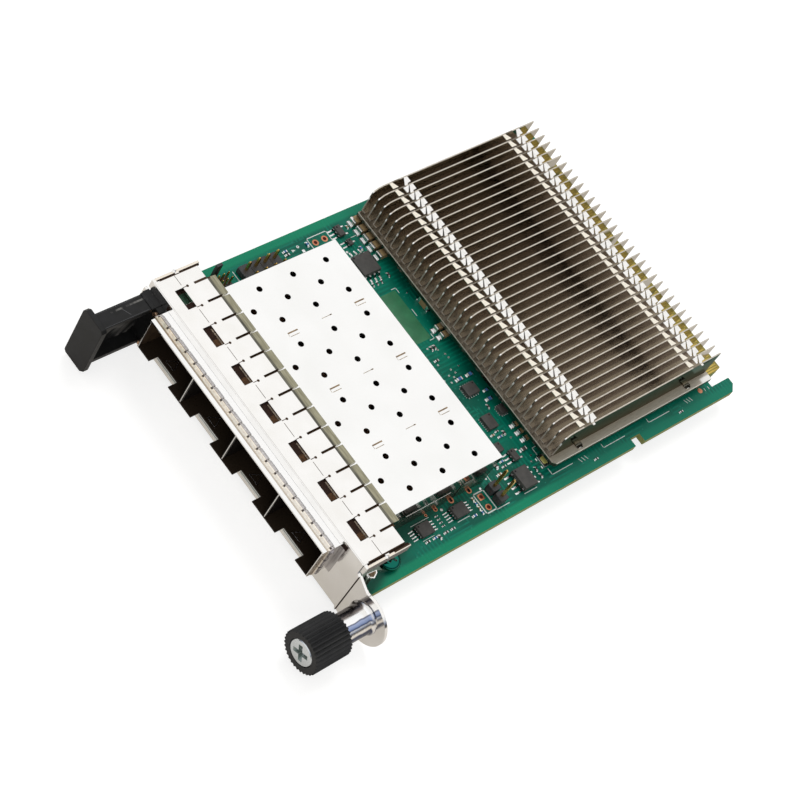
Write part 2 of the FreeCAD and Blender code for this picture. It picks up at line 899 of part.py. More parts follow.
floor = body("floor_body")
floor_sheet = sketch(floor, "floor_sheet", "XY_Plane", dim("cage_low"))
rectangle(
    floor_sheet,
    centre - half_cage + thin,
    centre + half_cage - thin,
    dim("cage_front"),
    dim("floor_rear"),
)
pad(floor, floor_sheet, thin)
notches = sketch(floor, "floor_notches", "XY_Plane", dim("cage_low") + thin)
for index in range(4):
    middle = first_port + dim("port_pitch") * (index + 0.5)
    rectangle(
        notches,
        middle - dim("tab_width") / 2,
        middle + dim("tab_width") / 2,
        dim("cage_front") - 0.5,
        dim("cage_front") + dim("tab_setback"),
    )
pocket(floor, notches, thin)
lip_front = dim("cage_front") + dim("tab_setback")
lip = sketch(floor, "floor_lips", "XY_Plane", dim("cage_low") - dim("tab_drop") + thin)
for index in range(4):
    middle = first_port + dim("port_pitch") * (index + 0.5)
    rectangle(
        lip,
        middle - dim("tab_width") / 2,
        middle + dim("tab_width") / 2,
        lip_front,
        lip_front + thin,
    )
pad(floor, lip, dim("tab_drop"))
node(floor, "cage_floor")


def divider(index):
    x = first_port.value + num("port_pitch") * index
    half = num("sheet_thickness") / 2
    low_edge = num("cage_low") + num("sheet_thickness")
    high_edge = num("cage_top") - num("sheet_thickness")
    rear_edge = num("cage_rear") - num("sheet_thickness")
    return block(x - half, x + half, num("cage_front") + 0.05, rear_edge, low_edge, high_edge)


group("cage_dividers", [divider(index) for index in (1, 2, 3)])


def port_connector(index):
    x = first_port.value + num("port_pitch") * (index + 0.5)
    front = num("floor_rear") + num("connector_gap")
    half = num("connector_half")
    hull = block(x - half, x + half, front, front + num("connector_length"), 0, num("connector_height"))
    slot = num("card_slot_half")
    slot_rear = front + num("card_slot_depth")
    mouth = block(x - slot, x + slot, front - 1, slot_rear, num("card_slot_low"), num("card_slot_high"))
    step_rear = front + num("connector_step_depth")
    step_low = num("connector_step_low")
    step_high = num("connector_step_high")
    step = block(x - half - 1, x + half + 1, front - 1, step_rear, step_low, step_high)
    obj = doc.addObject("Part::Feature", f"port_connector_shape_{index}")
    obj.Shape = hull.cut(mouth).cut(step).removeSplitter()
    obj.Placement = Placement()
    return node(obj, f"port_connector_{index + 1}")


for index in range(4):
    port_connector(index)

# Spring-finger gasket around the cage's nose.
skin = dim("gasket_thickness")
gasket_outer = box(
    "gasket_outer",
    centre - half_cage - skin,
    centre + half_cage + skin,
    dim("gasket_front"),
    dim("gasket_rear"),
    dim("cage_low") - skin,
    dim("cage_top") + skin,
)
gasket_inner = box(
    "gasket_inner",
    centre - half_cage,
    centre + half_cage,
    dim("gasket_front") - 1,
    dim("gasket_rear") + 1,
    dim("cage_low"),
    dim("cage_top"),
)
band = cut("gasket_band", gasket_outer, gasket_inner)
doc.recompute()


def finger(across, turned_to):
    """One bulged finger standing on the band: on its top, or on a side."""
    rise = num("gasket_rise")
    front = num("gasket_front") + 0.15
    edge = [
        Vector(0, front, -0.05),
        Vector(0, front + 0.45, rise),
        Vector(0, front + 1.25, rise),
        Vector(0, front + 1.85, -0.05),
        Vector(0, front, -0.05),
    ]
    width = num("gasket_finger")
    solid = Part.Face(Part.makePolygon(edge)).extrude(Vector(width, 0, 0))
    solid.translate(Vector(-width / 2, 0, 0))
    if turned_to:
        solid.rotate(Vector(), Vector(0, 1, 0), 90 * turned_to)
        x = num("cage_centre") + turned_to * (half_cage.value + num("gasket_thickness"))
        solid.translate(Vector(x, 0, across))
    else:
        solid.translate(Vector(across, 0, num("cage_top") + num("gasket_thickness")))
    return solid


lip_gaps = []
for index in range(4):
    middle = first_port.value + num("port_pitch") * (index + 0.5)
    reach = num("tab_width") / 2 + num("lip_clearance")
    lip_gaps.append(
        block(
            middle - reach,
            middle + reach,
            num("gasket_front") - 1,
            lip_front.value + num("sheet_thickness") + num("lip_clearance"),
            0,
            num("cage_low") + 0.5,
        )
    )
fingers = []
for index in range(19):
    fingers.append(finger(num("cage_centre") + num("gasket_pitch") * (index - 9), 0))
for side in (-1, 1):
    for index in range(3):
        fingers.append(finger(5.6 + (index - 1) * 2.8, side))
gasket = doc.addObject("Part::Feature", "gasket_ring")
gasket.Shape = band.Shape.multiFuse(fingers).cut(Part.makeCompound(lip_gaps)).removeSplitter()
gasket.Placement = Placement()
node(gasket, "cage_gasket")

# Heat sink
sink_left = -half_board + dim("sink_inset_left")
sink_right = half_board - dim("sink_inset_right")
fin_first = -half_board + dim("fin_inset_left")
fin_run = half_board - dim("fin_inset_right") - dim("fin_thickness") - fin_first
fin_pitch = fin_run / (dim("fin_count") - 1)
base = body("sink_base_body")
base_sketch = sketch(base, "sink_base", "XY_Plane", dim("sink_low"))
polygon(
    base_sketch,
    [
        (sink_left, dim("sink_front")),
        (sink_right - 0.8, dim("sink_front")),
        (sink_right, dim("sink_front") + 0.8),
        (sink_right, dim("sink_rear")),
        (sink_left, dim("sink_rear")),
    ],
)
pad(base, base_sketch, dim("sink_high") - dim("sink_low"))
node(base, "heatsink_base")


# Interlock drawn from a fin's left face and from the band's front edge: the front flange, then the
# rear flange with its tongue, which crosses the next fin's notch and lies in the gap behind it.
FRONT_FLANGE = [(0, 0), (1.72, 0), (1.72, 1.55), (0.35, 0.9), (0, 0.85)]
TONGUE_FLANGE = [
    (0, 5.2),
    (1.62, 5.2),
    (1.76, 4.15),
    (2.36, 4.0),
    (3.74, 2.85),
    (3.74, 2.4),
    (2.36, 2.35),
    (2.36, 3.25),
    (1.85, 3.2),
    (0.35, 4.2),
    (0, 4.2),
]
SHORT_TONGUE = [(0, 5.2), (1.62, 5.2), (1.76, 4.15), (2.7, 3.9), (2.7, 3.35), (1.85, 3.2), (0.35, 4.2), (0, 4.2)]
FOOT_TONGUE = [(0, 2.6), (0.9, 2.35), (1.75, 2.75), (1.75, 3.75), (0.9, 4.15), (0, 3.9)]


def flat_tab(outline, x, y, low_edge, thickness):
    points = [Vector(x + across, y + along, low_edge) for across, along in outline]
    return Part.Face(Part.makePolygon(points + points[:1])).extrude(Vector(0, 0, thickness))


def fin(index):
    last = int(num("fin_count")) - 1
    x = fin_first.value + fin_pitch.value * index
    low_edge = num("sink_high")
    high_edge = num("fin_high")
    front = num("fin_front")
    back = num("fin_rear")
    run = num("fin_nose_run")
    drop = num("fin_nose_drop")
    side = [
        Vector(x, front, low_edge),
        Vector(x, front, high_edge - drop),
        Vector(x, front + run * 0.46, high_edge - drop * 0.24),
        Vector(x, front + run, high_edge),
        Vector(x, back, high_edge),
        Vector(x, back, low_edge),
    ]
    shape = Part.Face(Part.makePolygon(side + side[:1])).extrude(Vector(num("fin_thickness"), 0, 0))
    tab_low = high_edge - num("tab_thickness")
    parts = []
    for alias in ("band_front_one", "band_front_two"):
        start = num(alias)
        if index > 0:
            notch = block(x - 1, x + 1, start + 3.1, start + 4.2, tab_low - 0.08, high_edge + 1)
            shape = shape.cut(notch)
        if index < last:
            tongue = TONGUE_FLANGE if index < last - 1 else SHORT_TONGUE
            parts.append(flat_tab(FRONT_FLANGE, x, start, tab_low, num("tab_thickness")))
            parts.append(flat_tab(tongue, x, start, tab_low, num("tab_thickness")))
        else:
            parts.append(flat_tab(FOOT_TONGUE, x, start, low_edge, num("tab_thickness")))
    if index < last:
        parts.append(block(x, x + num("fin_foot"), front, back, low_edge, low_edge + 0.25))
    return shape.multiFuse(parts).removeSplitter()


group("heatsink_fins", [fin(index) for index in range(int(num("fin_count")))])


def sink_screw(x, y):
    shank = rod(1.1, num("board_thickness") + num("sink_low"), x, y, -num("board_thickness"))
    low_edge = -num("board_thickness") - 1.1
    head = rod(2.2, 1.1, x, y, low_edge)
    one = block(x - 1.3, x + 1.3, y - 0.28, y + 0.28, low_edge - 0.1, low_edge + 0.6)
    two = block(x - 0.28, x + 0.28, y - 1.3, y + 1.3, low_edge - 0.1, low_edge + 0.6)
    return shank.fuse(head).cut(one).cut(two).removeSplitter()


corners = []
for x in (-sink_screw_x.value, sink_screw_x.value):
    for y in (num("sink_screw_front"), num("sink_screw_rear")):
        corners.append((x, y))
group("heatsink_screws", [sink_screw(x, y) for x, y in corners])


def standoff(x, y):
    post = rod(1.9, num("sink_low"), x, y, 0)
    return post.cut(rod(1.4, num("sink_low") + 1, x, y, -0.5))


group("heatsink_standoffs", [standoff(x, y) for x, y in corners])

chip_half = dim("chip_half")
node(
    box(
        "controller_block",
        -chip_half,
        chip_half,
        dim("chip_y") - chip_half,
        dim("chip_y") + chip_half,
        0,
        dim("chip_high"),
    ),
    "controller_chip",
)
node(
    box(
        "pad_block",
        -chip_half + 1,
        chip_half - 1,
        dim("chip_y") - chip_half + 1,
        dim("chip_y") + chip_half - 1,
        dim("chip_high"),
        dim("sink_low"),
    ),
    "thermal_pad",
)


# Leaded chips
def gull_chip(label, x0, x1, y0, y1, height, count, pitch, lead_axis, reach=0.95):
    """A moulded body on gull-wing leads along two sides."""
    solid = block(x0, x1, y0, y1, 0.12, height)
    parts = []
    mid = height * 0.45
    for index in range(count):
        shift = (index - (count - 1) / 2) * pitch
        for side in (-1, 1):
            if lead_axis == "y":
                at = (x0 + x1) / 2 + shift
                edge = y0 if side < 0 else y1
                inner, far = edge, edge + side * reach
                parts.append(
                    block(at - 0.2, at + 0.2, min(inner, inner + side * 0.35) - 0.02,
                          max(inner, inner + side * 0.35) + 0.02, 0.03, mid)
                )
                parts.append(
                    block(at - 0.2, at + 0.2, min(inner + side * 0.2, far),
                          max(inner + side * 0.2, far), 0.0, 0.18)
                )
            else:
                at = (y0 + y1) / 2 + shift
                edge = x0 if side < 0 else x1
                inner, far = edge, edge + side * reach
                parts.append(
                    block(min(inner, inner + side * 0.35) - 0.02,
                          max(inner, inner + side * 0.35) + 0.02, at - 0.2, at + 0.2, 0.03, mid)
                )
                parts.append(
                    block(min(inner + side * 0.2, far), max(inner + side * 0.2, far),
                          at - 0.2, at + 0.2, 0.0, 0.18)
                )
    obj = doc.addObject("Part::Feature", label + "_shape")
    obj.Shape = solid.multiFuse(parts).removeSplitter()
    obj.Placement = Placement()
    return node(obj, label)


gull_chip("monitor_chip_front", 30.4, 33.4, 21.7, 25.2, 1.1, 4, 0.66, "y")
gull_chip("monitor_chip_rear", 30.4, 33.4, 31.3, 35.0, 1.1, 4, 0.66, "y")
gull_chip("flash_memory_chip", 30.1, 35.0, 49.4, 53.2, 1.6, 4, 1.27, "y", 1.05)
gull_chip("eeprom_chip", -26.7, -21.6, 49.8, 54.8, 1.75, 4, 1.27, "x", 1.3)
gull_chip("supervisor_chip", 25.8, 28.6, 52.3, 53.9, 1.0, 3, 0.95, "y", 0.8)
gull_chip("reset_chip", -35.1, -32.3, 51.9, 53.5, 1.0, 3, 0.95, "y", 0.8)
gull_chip("switch_chip", -31.3, -29.6, 52.6, 53.7, 0.9, 2, 1.0, "y", 0.7)


def flat_chip(name):
    """A leadless chip: a thin base with terminals under a slightly smaller moulded top."""
    x0 = num(name + "_x")
    y0 = num(name + "_y")
    x1 = x0 + num(name + "_width")
    y1 = y0 + num(name + "_length")
    foot_high = num("leadless_foot")
    inset = num("leadless_inset")
    foot = block(x0, x1, y0, y1, 0, foot_high)
    top = block(x0 + inset, x1 - inset, y0 + inset, y1 - inset, foot_high, num("leadless_height"))
    return foot.fuse(top)


group("regulator_chips", [flat_chip("regulator_one"), flat_chip("regulator_two")])
group("buffer_chips", [flat_chip("buffer_one"), flat_chip("buffer_two")])


def capacitor(x, y, length, width, height):
    """A chip capacitor lying along Y, its two end caps a little fuller than the middle."""
    near = y - length / 2
    far = y + length / 2
    middle = block(x - width / 2 + 0.04, x + width / 2 - 0.04, near, far, 0.04, height - 0.04)
    cap = length * 0.2
    ends = [
        block(x - width / 2, x + width / 2, near, near + cap, 0, height),
        block(x - width / 2, x + width / 2, far - cap, far, 0, height),
    ]
    return middle.multiFuse(ends).removeSplitter()


bulk = [capacitor(x, 58.1, 3.2, 1.75, 1.6) for x in (-34.3, -31.9, -29.6, -27.3, -24.9)]
group("bulk_capacitors", bulk)
group("decoupling_capacitors", [capacitor(x, 58.3, 3.0, 1.3, 1.5) for x in (-4.7, -2.75)])
group("input_capacitor", [capacitor(-10.8, 59.4, 2.5, 3.2, 1.7)])
group("crystal_oscillator", [flat_chip("crystal")])


# Pin headers and their push-on links
def pins(x0, y0, columns, rows, pitch, top, half):
    shapes = []
    for column in range(columns):
        for row in range(rows):
            x = x0 + column * pitch
            y = y0 + row * pitch
            shapes.append(block(x - half, x + half, y - half, y + half, -1.9, top))
    return shapes


def header(label, x0, y0, columns, rows, pitch, base_high, top, half=0.25):
    margin = pitch / 2 - 0.02
    hull = block(
        x0 - margin,
        x0 + (columns - 1) * pitch + margin,
        y0 - margin,
        y0 + (rows - 1) * pitch + margin,
        0,
        base_high,
    )
    hollow = []
    for shape in pins(x0, y0, columns, rows, pitch, top + 1, half):
        hollow.append(shape)
    obj = doc.addObject("Part::Feature", label + "_base_shape")
    obj.Shape = hull.cut(Part.makeCompound(hollow)).removeSplitter()
    obj.Placement = Placement()
    node(obj, label + "_base")
    trimmed = []
    for column in range(columns):
        for row in range(rows):
            x = x0 + column * pitch
            y = y0 + row * pitch
            trimmed.append(block(x - half, x + half, y - half, y + half, 0.0, top))
    group(label + "_pins", trimmed)


header("debug_header", -33.7, 26.35, 2, 4, 2.54, 1.55, 4.3)
header("config_header", -34.0, 17.4, 2, 4, 1.27, 1.0, 3.4, 0.2)
header("strap_header", 31.3, 43.1, 2, 1, 2.54, 2.4, 8.2)
group("header_key", [block(-35.55, -34.95, 17.9, 19.4, 0, 5.6)])

# Reading everything back
doc.recompute()
problems = []
for obj in doc.Objects:
    if "Invalid" in obj.State or "Error" in obj.State:
        problems.append(f"{obj.Name} is {obj.State}")
for obj in nodes:
    if obj.Shape.isNull() or not obj.Shape.isValid():
        problems.append(f"{obj.Label} has no valid shape")
if problems:
    raise RuntimeError("; ".join(problems))

os.makedirs("parts", exist_ok=True)
for obj in nodes:
    obj.Shape.exportStep(f"parts/{obj.Label}.step")
print(len(nodes), "nodes written")
for obj in nodes:
    extent = obj.Shape.BoundBox
    print(
        f"{obj.Label:28s} solids {len(obj.Shape.Solids):3d}",
        f"x {extent.XMin:7.2f} {extent.XMax:7.2f}",
        f"y {extent.YMin:7.2f} {extent.YMax:7.2f}",
        f"z {extent.ZMin:7.2f} {extent.ZMax:7.2f}",
    )
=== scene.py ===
import math
import random

import bmesh
import bpy
from mathutils import Matrix, Vector


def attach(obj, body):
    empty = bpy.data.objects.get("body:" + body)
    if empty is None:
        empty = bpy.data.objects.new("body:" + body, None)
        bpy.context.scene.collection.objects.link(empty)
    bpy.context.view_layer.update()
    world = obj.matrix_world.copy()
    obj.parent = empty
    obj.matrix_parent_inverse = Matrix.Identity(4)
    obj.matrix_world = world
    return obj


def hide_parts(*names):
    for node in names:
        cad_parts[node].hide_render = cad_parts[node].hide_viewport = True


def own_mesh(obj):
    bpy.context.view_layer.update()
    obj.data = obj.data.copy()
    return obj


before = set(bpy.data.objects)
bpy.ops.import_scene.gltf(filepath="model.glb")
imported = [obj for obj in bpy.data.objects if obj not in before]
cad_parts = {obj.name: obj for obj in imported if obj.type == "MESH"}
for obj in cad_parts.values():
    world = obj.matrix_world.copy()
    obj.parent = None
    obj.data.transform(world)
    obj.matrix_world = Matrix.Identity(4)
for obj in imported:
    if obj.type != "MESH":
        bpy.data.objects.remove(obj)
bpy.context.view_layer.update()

# Lengths in this script are millimetres, turned into metres when a mesh is made.
MM = 0.001
scene = bpy.context.scene
scene.view_settings.view_transform = "Standard"


def extent(node):
    """The box of a CAD node in millimetres: x0, x1, y0, y1, z0, z1."""
    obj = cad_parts[node]
    points = [obj.matrix_world @ vertex.co / MM for vertex in obj.data.vertices]
    return [pick(p[axis] for p in points) for axis in range(3) for pick in (min, max)]


# Places and pitches of the CAD model. The board's upper face is at height 0.
x0, x1, _, _, _, CAGE_TOP = extent("cage_shell")
CAGE_X, CAGE_HALF = (x0 + x1) / 2, (x1 - x0) / 2
PORT_PITCH = 14.25
WINDOW_X, WINDOW_PITCH, WINDOW_WIDE, WINDOWS = -31.58, 9.56, 4.75, 7
HOOD_TOP = extent("front_bracket")[5]
HOOD_UNDERSIDE = HOOD_TOP - 0.735
x0, x1, y0, y1, _, _ = extent("bracket_screw_1")
FOOT_SCREW_X, FOOT_SCREW_Y = (x0 + x1) / 2, (y0 + y1) / 2
SINK_SCREW_X, SINK_SCREW_YS = 29.5, (62, 103.5)
FIN_X, FIN_PITCH = extent("heatsink_fins")[0], 2.02
FIN_FRONT, FIN_TOP = extent("heatsink_fins")[2], extent("heatsink_fins")[5]
INTERLOCKS = (63.1, 97.5)
BOARD_UNDERSIDE = extent("circuit_board")[4]
SCREW_AXIS = (41.1, 0.0, 0.1)


# Camera, fitted to the photograph
def make_camera():
    data = bpy.data.cameras.new("camera")
    data.sensor_width = 36
    data.lens = 111.49
    data.clip_start = 0.01
    data.clip_end = 20
    obj = bpy.data.objects.new("camera", data)
    scene.collection.objects.link(obj)
    spot = Vector((127.068, -262.491, 386.074)) * MM
    aim = Vector((5.502, 38.678, 0.0)) * MM
    turn = (aim - spot).to_track_quat("-Z", "Y").to_matrix().to_4x4()
    roll = Matrix.Rotation(math.radians(35.511), 4, "Z")
    obj.matrix_world = Matrix.Translation(spot) @ turn @ roll
    scene.camera = obj


make_camera()


# Node trees
class Value:
    """What a node gives, with the arithmetic and the masks that are made from it."""

    def __init__(self, nodes, socket):
        self.nodes = nodes
        self.socket = socket

    def __add__(self, other):
        return self.nodes.maths("ADD", self, other)

    def __sub__(self, other):
        return self.nodes.maths("SUBTRACT", self, other)

    def __rsub__(self, other):
        return self.nodes.maths("SUBTRACT", other, self)

    def __mul__(self, other):
        return self.nodes.maths("MULTIPLY", self, other)

    def __mod__(self, other):
        return self.nodes.maths("MODULO", self, other)

    def __or__(self, other):
        return self.nodes.maths("MAXIMUM", self, other)

    def __abs__(self):
        return self.nodes.maths("ABSOLUTE", self)

    def span(self, low, high, start=0.0, end=1.0):
        """From start to end as this goes from low to high, and held beyond."""
        ends = {"From Min": low, "From Max": high, "To Min": start, "To Max": end}
        return self.nodes.value("ShaderNodeMapRange", {"Value": self, **ends})

    def spread(self, start, end):
        """From start to end over the usual reach of a noise."""
        return self.span(0.3, 0.7, start, end)

    def over(self, level, soft=0.02):
        return self.span(level - soft, level + soft)

    def under(self, level, soft=0.02):
        return self.span(level - soft, level + soft, 1.0, 0.0)

    def within(self, low, high, soft=0.02):
        return self.over(low, soft) * self.under(high, soft)

    def near(self, centre, reach, soft):
        return abs(self - centre).under(reach, soft)

    def blend(self, low, high, first, second):
        """The first colour up to low, the second from high."""
        return self.nodes.mix(self.span(low, high), first, second)


class Nodes:
    """A node tree, cleared and filled again."""

    def __init__(self, owner):
        owner.use_nodes = True
        self.tree = owner.node_tree
        self.tree.nodes.clear()

    def add(self, kind, sockets=None, **settings):
        """A node with its settings, and with a number, a colour or a link in each socket named."""
        node = self.tree.nodes.new(kind)
        for name, setting in settings.items():
            setattr(node, name, setting)
        for key, given in (sockets or {}).items():
            self.plug(node.inputs[key], given)
        return node

    def value(self, kind, sockets=None, output=0, **settings):
        return Value(self, self.add(kind, sockets, **settings).outputs[output])

    def plug(self, socket, given):
        if isinstance(given, Value):
            self.tree.links.new(given.socket, socket)
        elif isinstance(given, tuple) and socket.type == "RGBA":
            socket.default_value = (*given, 1)
        else:
            socket.default_value = given

    def maths(self, operation, a, b=0.0):
        return self.value("ShaderNodeMath", {0: a, 1: b}, operation=operation)

    def mix(self, share, a, b):
        return self.value("ShaderNodeMix", {0: share, 6: a, 7: b}, 2, data_type="RGBA")

    def split(self, vector):
        node = self.add("ShaderNodeSeparateXYZ", {0: vector})
        return [Value(self, socket) for socket in node.outputs]

    def ramp(self, value, stops):
        node = self.add("ShaderNodeValToRGB", {0: value})
        marks = node.color_ramp.elements
        while len(marks) < len(stops):
            marks.new(0.5)
        for mark, (at, tone) in zip(marks, stops):
            mark.position = at
            mark.color = (*tone, 1)
        return Value(self, node.outputs[0])

    def rays(self):
        """Masks for what the camera sees and for what metal mirrors."""
        path = self.add("ShaderNodeLightPath").outputs
        names = ("Is Camera Ray", "Is Glossy Ray", "Is Transmission Ray")
        camera, glossy, through = (Value(self, path[name]) for name in names)
        return camera, glossy | through


class Finish(Nodes):
    """A procedural material. Its texture space is in millimetres."""

    def __init__(self, name):
        self.material = bpy.data.materials.new(name)
        super().__init__(self.material)
        self.shader = self.add("ShaderNodeBsdfPrincipled")
        surface = Value(self, self.shader.outputs["BSDF"])
        self.add("ShaderNodeOutputMaterial", {"Surface": surface})
        self.where = self.add("ShaderNodeTexCoord").outputs
        metres = Value(self, self.where["Object"])
        self.place = self.value("ShaderNodeVectorMath", {0: metres, "Scale": 1000}, operation="SCALE")
        self.x, self.y, self.z = self.split(self.place)
        self.colour = None
        self.shape_normal = None

    def facing(self):
        return self.split(Value(self, self.where["Normal"]))

    def stretched(self, stretch, place=None):
        place = place or self.place
        if stretch is None:
            return place
        return self.value("ShaderNodeVectorMath", {0: place, 1: stretch}, operation="MULTIPLY")

    def noise(self, scale, detail=2.0, roughness=0.5, stretch=None, place=None):
        sockets = {"Scale": scale, "Detail": detail, "Roughness": roughness}
        return self.value("ShaderNodeTexNoise", {"Vector": self.stretched(stretch, place), **sockets})

    def cells(self, scale, output="Distance"):
        """Cells across the board, the same at every height."""
        flat = self.stretched((1, 1, 0.01))
        return self.value("ShaderNodeTexVoronoi", {"Vector": flat, "Scale": scale}, output)

    def stripes(self, scale, axis, distortion=0.0):
        sockets = {"Vector": self.place, "Scale": scale, "Distortion": distortion}
        return self.value("ShaderNodeTexWave", sockets, "Fac", bands_direction=axis)

    def paint(self, share, tone):
        self.colour = self.mix(share, self.colour, tone)

    def soften_edges(self, radius):
        self.shape_normal = self.value("ShaderNodeBevel", {"Radius": radius * MM}, samples=4)

    def bump(self, height, strength, depth):
        sockets = {"Height": height, "Strength": strength, "Distance": depth * MM}
        if self.shape_normal:
            sockets["Normal"] = self.shape_normal
        self.shape_normal = self.value("ShaderNodeBump", sockets)

    def done(self, **values):
        """The material, with its colour, its normal and the values for its shader."""
        for name, given in {"Base_Color": self.colour, "Normal": self.shape_normal, **values}.items():
            self.plug(self.shader.inputs[name.replace("_", " ")], given)
        return self.material


# Materials
def metal(name, tone, roughness, edge=0.08, wear=0.92, ripple=0.02):
    """Sheet or turned metal with clouded tone, uneven polish, fine grain and soft edges."""
    f = Finish(name)
    f.colour = f.noise(0.22, 3.0).blend(0.35, 0.7, tone, tuple(part * wear for part in tone))
    fine = f.noise(5.0, 3.0, 0.6)
    f.soften_edges(edge)
    f.bump(fine, 0.12, 0.01)
    f.bump(f.noise(0.12, 1.0), 0.25, ripple)
    return f.done(Metallic=1.0, Roughness=fine.spread(roughness * 0.8, roughness * 1.25))


def plastic(name, tone, roughness, grain=6.0, edge=0.12, shine=0.5):
    """Moulded plastic with a spark-eroded grain and slightly paler rubbed patches."""
    f = Finish(name)
    fine = f.noise(grain, 4.0, 0.65)
    f.colour = f.noise(0.35, 3.0).blend(0.4, 0.75, tone, tuple(part * 1.35 + 0.002 for part in tone))
    f.soften_edges(edge)
    f.bump(fine, 0.3, 0.02)
    return f.done(Roughness=fine.spread(roughness * 0.85, roughness * 1.15), Specular_IOR_Level=shine)


def shade(name, tone, roughness):
    """Painted shade: a dull dark tone for recesses, and for what lies below holes; in a pale tone it paints
    a highlight.
    """
    f = Finish(name)
    fine = f.noise(2.5, 3.0)
    f.colour = fine.blend(0.4, 0.75, tone, tuple(part * 2.2 for part in tone))
    f.bump(fine, 0.2, 0.02)
    return f.done(Roughness=fine.spread(roughness, roughness * 1.25), Specular_IOR_Level=0.15)


def board_finish():
    """Green solder mask over copper tracks, and the bare laminate on the cut edges."""
    f = Finish("solder_mask")
    pick = f.maths("GREATER_THAN", f.cells(0.16, "Color"), 0.5)
    lanes = f.mix(pick, f.stripes(0.33, "X"), f.stripes(0.33, "Y"))
    tracks = lanes.span(0.62, 0.72) * f.noise(0.13, 2.0).span(0.44, 0.52)
    f.colour = f.noise(0.07, 2.0).blend(0.4, 0.62, (0.0005, 0.098, 0.064), (0.0008, 0.155, 0.098))
    f.paint(tracks * 0.7, (0.002, 0.200, 0.130))
    f.paint(f.cells(0.75).under(0.14) * 0.55, (0.03, 0.26, 0.18))
    # Brighter green along the side and rear margins: partly painted reflection of the mask's gloss, partly
    # mask with no copper under it.
    rim = abs(f.x).over(36.1, 0.35) | f.y.over(112.6, 0.5) * 0.5
    f.paint(rim * 0.8, f.mix(f.y.over(58.0, 8.0), (0.004, 0.250, 0.128), (0.004, 0.185, 0.112)))
    # Painted shadow of the hood and bracket on the board beside the right foot screw.
    hood_shadow = (f.x - FOOT_SCREW_X) * 2.9 + f.y
    f.paint(hood_shadow.under(16.6, 2.2) * f.x.over(28.0, 0.5) * 0.8, (0.001, 0.055, 0.035))
    tongue = f.y.over(109.3, 0.3) * abs(f.x).under(32.3, 0.1)
    f.paint(tongue * 0.9, (0.30, 0.235, 0.045))
    flat = abs(f.facing()[2]).over(0.7, 0.05)
    layers = f.stripes(1.9, "Z", 0.4).blend(0.2, 0.8, (0.33, 0.33, 0.10), (0.16, 0.20, 0.06))
    glass = f.noise(3.0, 3.0, 0.6, (1, 1, 4)).span(0.35, 0.7, 0.0, 0.5)
    f.colour = f.mix(flat, f.mix(glass, layers, (0.50, 0.50, 0.24)), f.colour)
    f.soften_edges(0.05)
    f.bump(tracks + f.noise(4.0, 2.0) * 0.25, 0.35, 0.03)
    return f.done(
        Roughness=flat.span(0.0, 1.0, 0.75, 0.34) * f.noise(2.0, 3.0).spread(0.85, 1.2),
        Specular_IOR_Level=0.17,
        Coat_Weight=0.07,
        Coat_Roughness=0.14,
    )


def cage_finish():
    """Bright nickel on top; painted shade on the side walls, a streaked brown that dims their reflection,
    with a pale band of painted highlight below the top; and painted shade, dull black, inside the ports.
    """
    f = Finish("cage_nickel")
    reach = abs(f.x - CAGE_X)
    # Painted shade inside the ports: the mask for the dull black interior.
    inside = f.z.under(9.99) * reach.under(28.38)
    inside = inside * f.y.under(42.32) * f.y.over(-5.8, 0.1)
    f.colour = f.noise(0.10, 3.0).blend(0.35, 0.7, (0.97, 0.965, 0.95), (0.93, 0.925, 0.905))
    wall = reach.over(28.5)
    # Painted shade on the side walls, a streaked brown that dims their reflection, and a pale band below the
    # top as a painted highlight.
    wall_shade = f.noise(0.6, 3.0, 0.6, (1, 0.4, 1.6)).blend(0.42, 0.62, (0.21, 0.175, 0.14), (0.42, 0.37, 0.31))
    f.paint(wall * f.z.under(9.95, 0.03), wall_shade)
    f.paint(wall * f.z.within(9.3, 9.62, 0.03), (0.90, 0.86, 0.79))
    f.paint(inside, f.noise(0.25, 3.0).blend(0.4, 0.7, (0.028, 0.016, 0.010), (0.085, 0.055, 0.030)))
    polish = f.noise(6.0, 3.0, 0.6).spread(0.10, 0.16)
    low = f.z.under(4.5, 0.6) * reach.over(28.4, 0.05)
    f.soften_edges(0.07)
    f.bump(f.noise(0.08, 1.0), 0.25, 0.02)
    return f.done(
        Metallic=1.0 - inside,
        Roughness=polish + low * 0.14 + inside * 0.5,
        Specular_IOR_Level=0.2,
    )


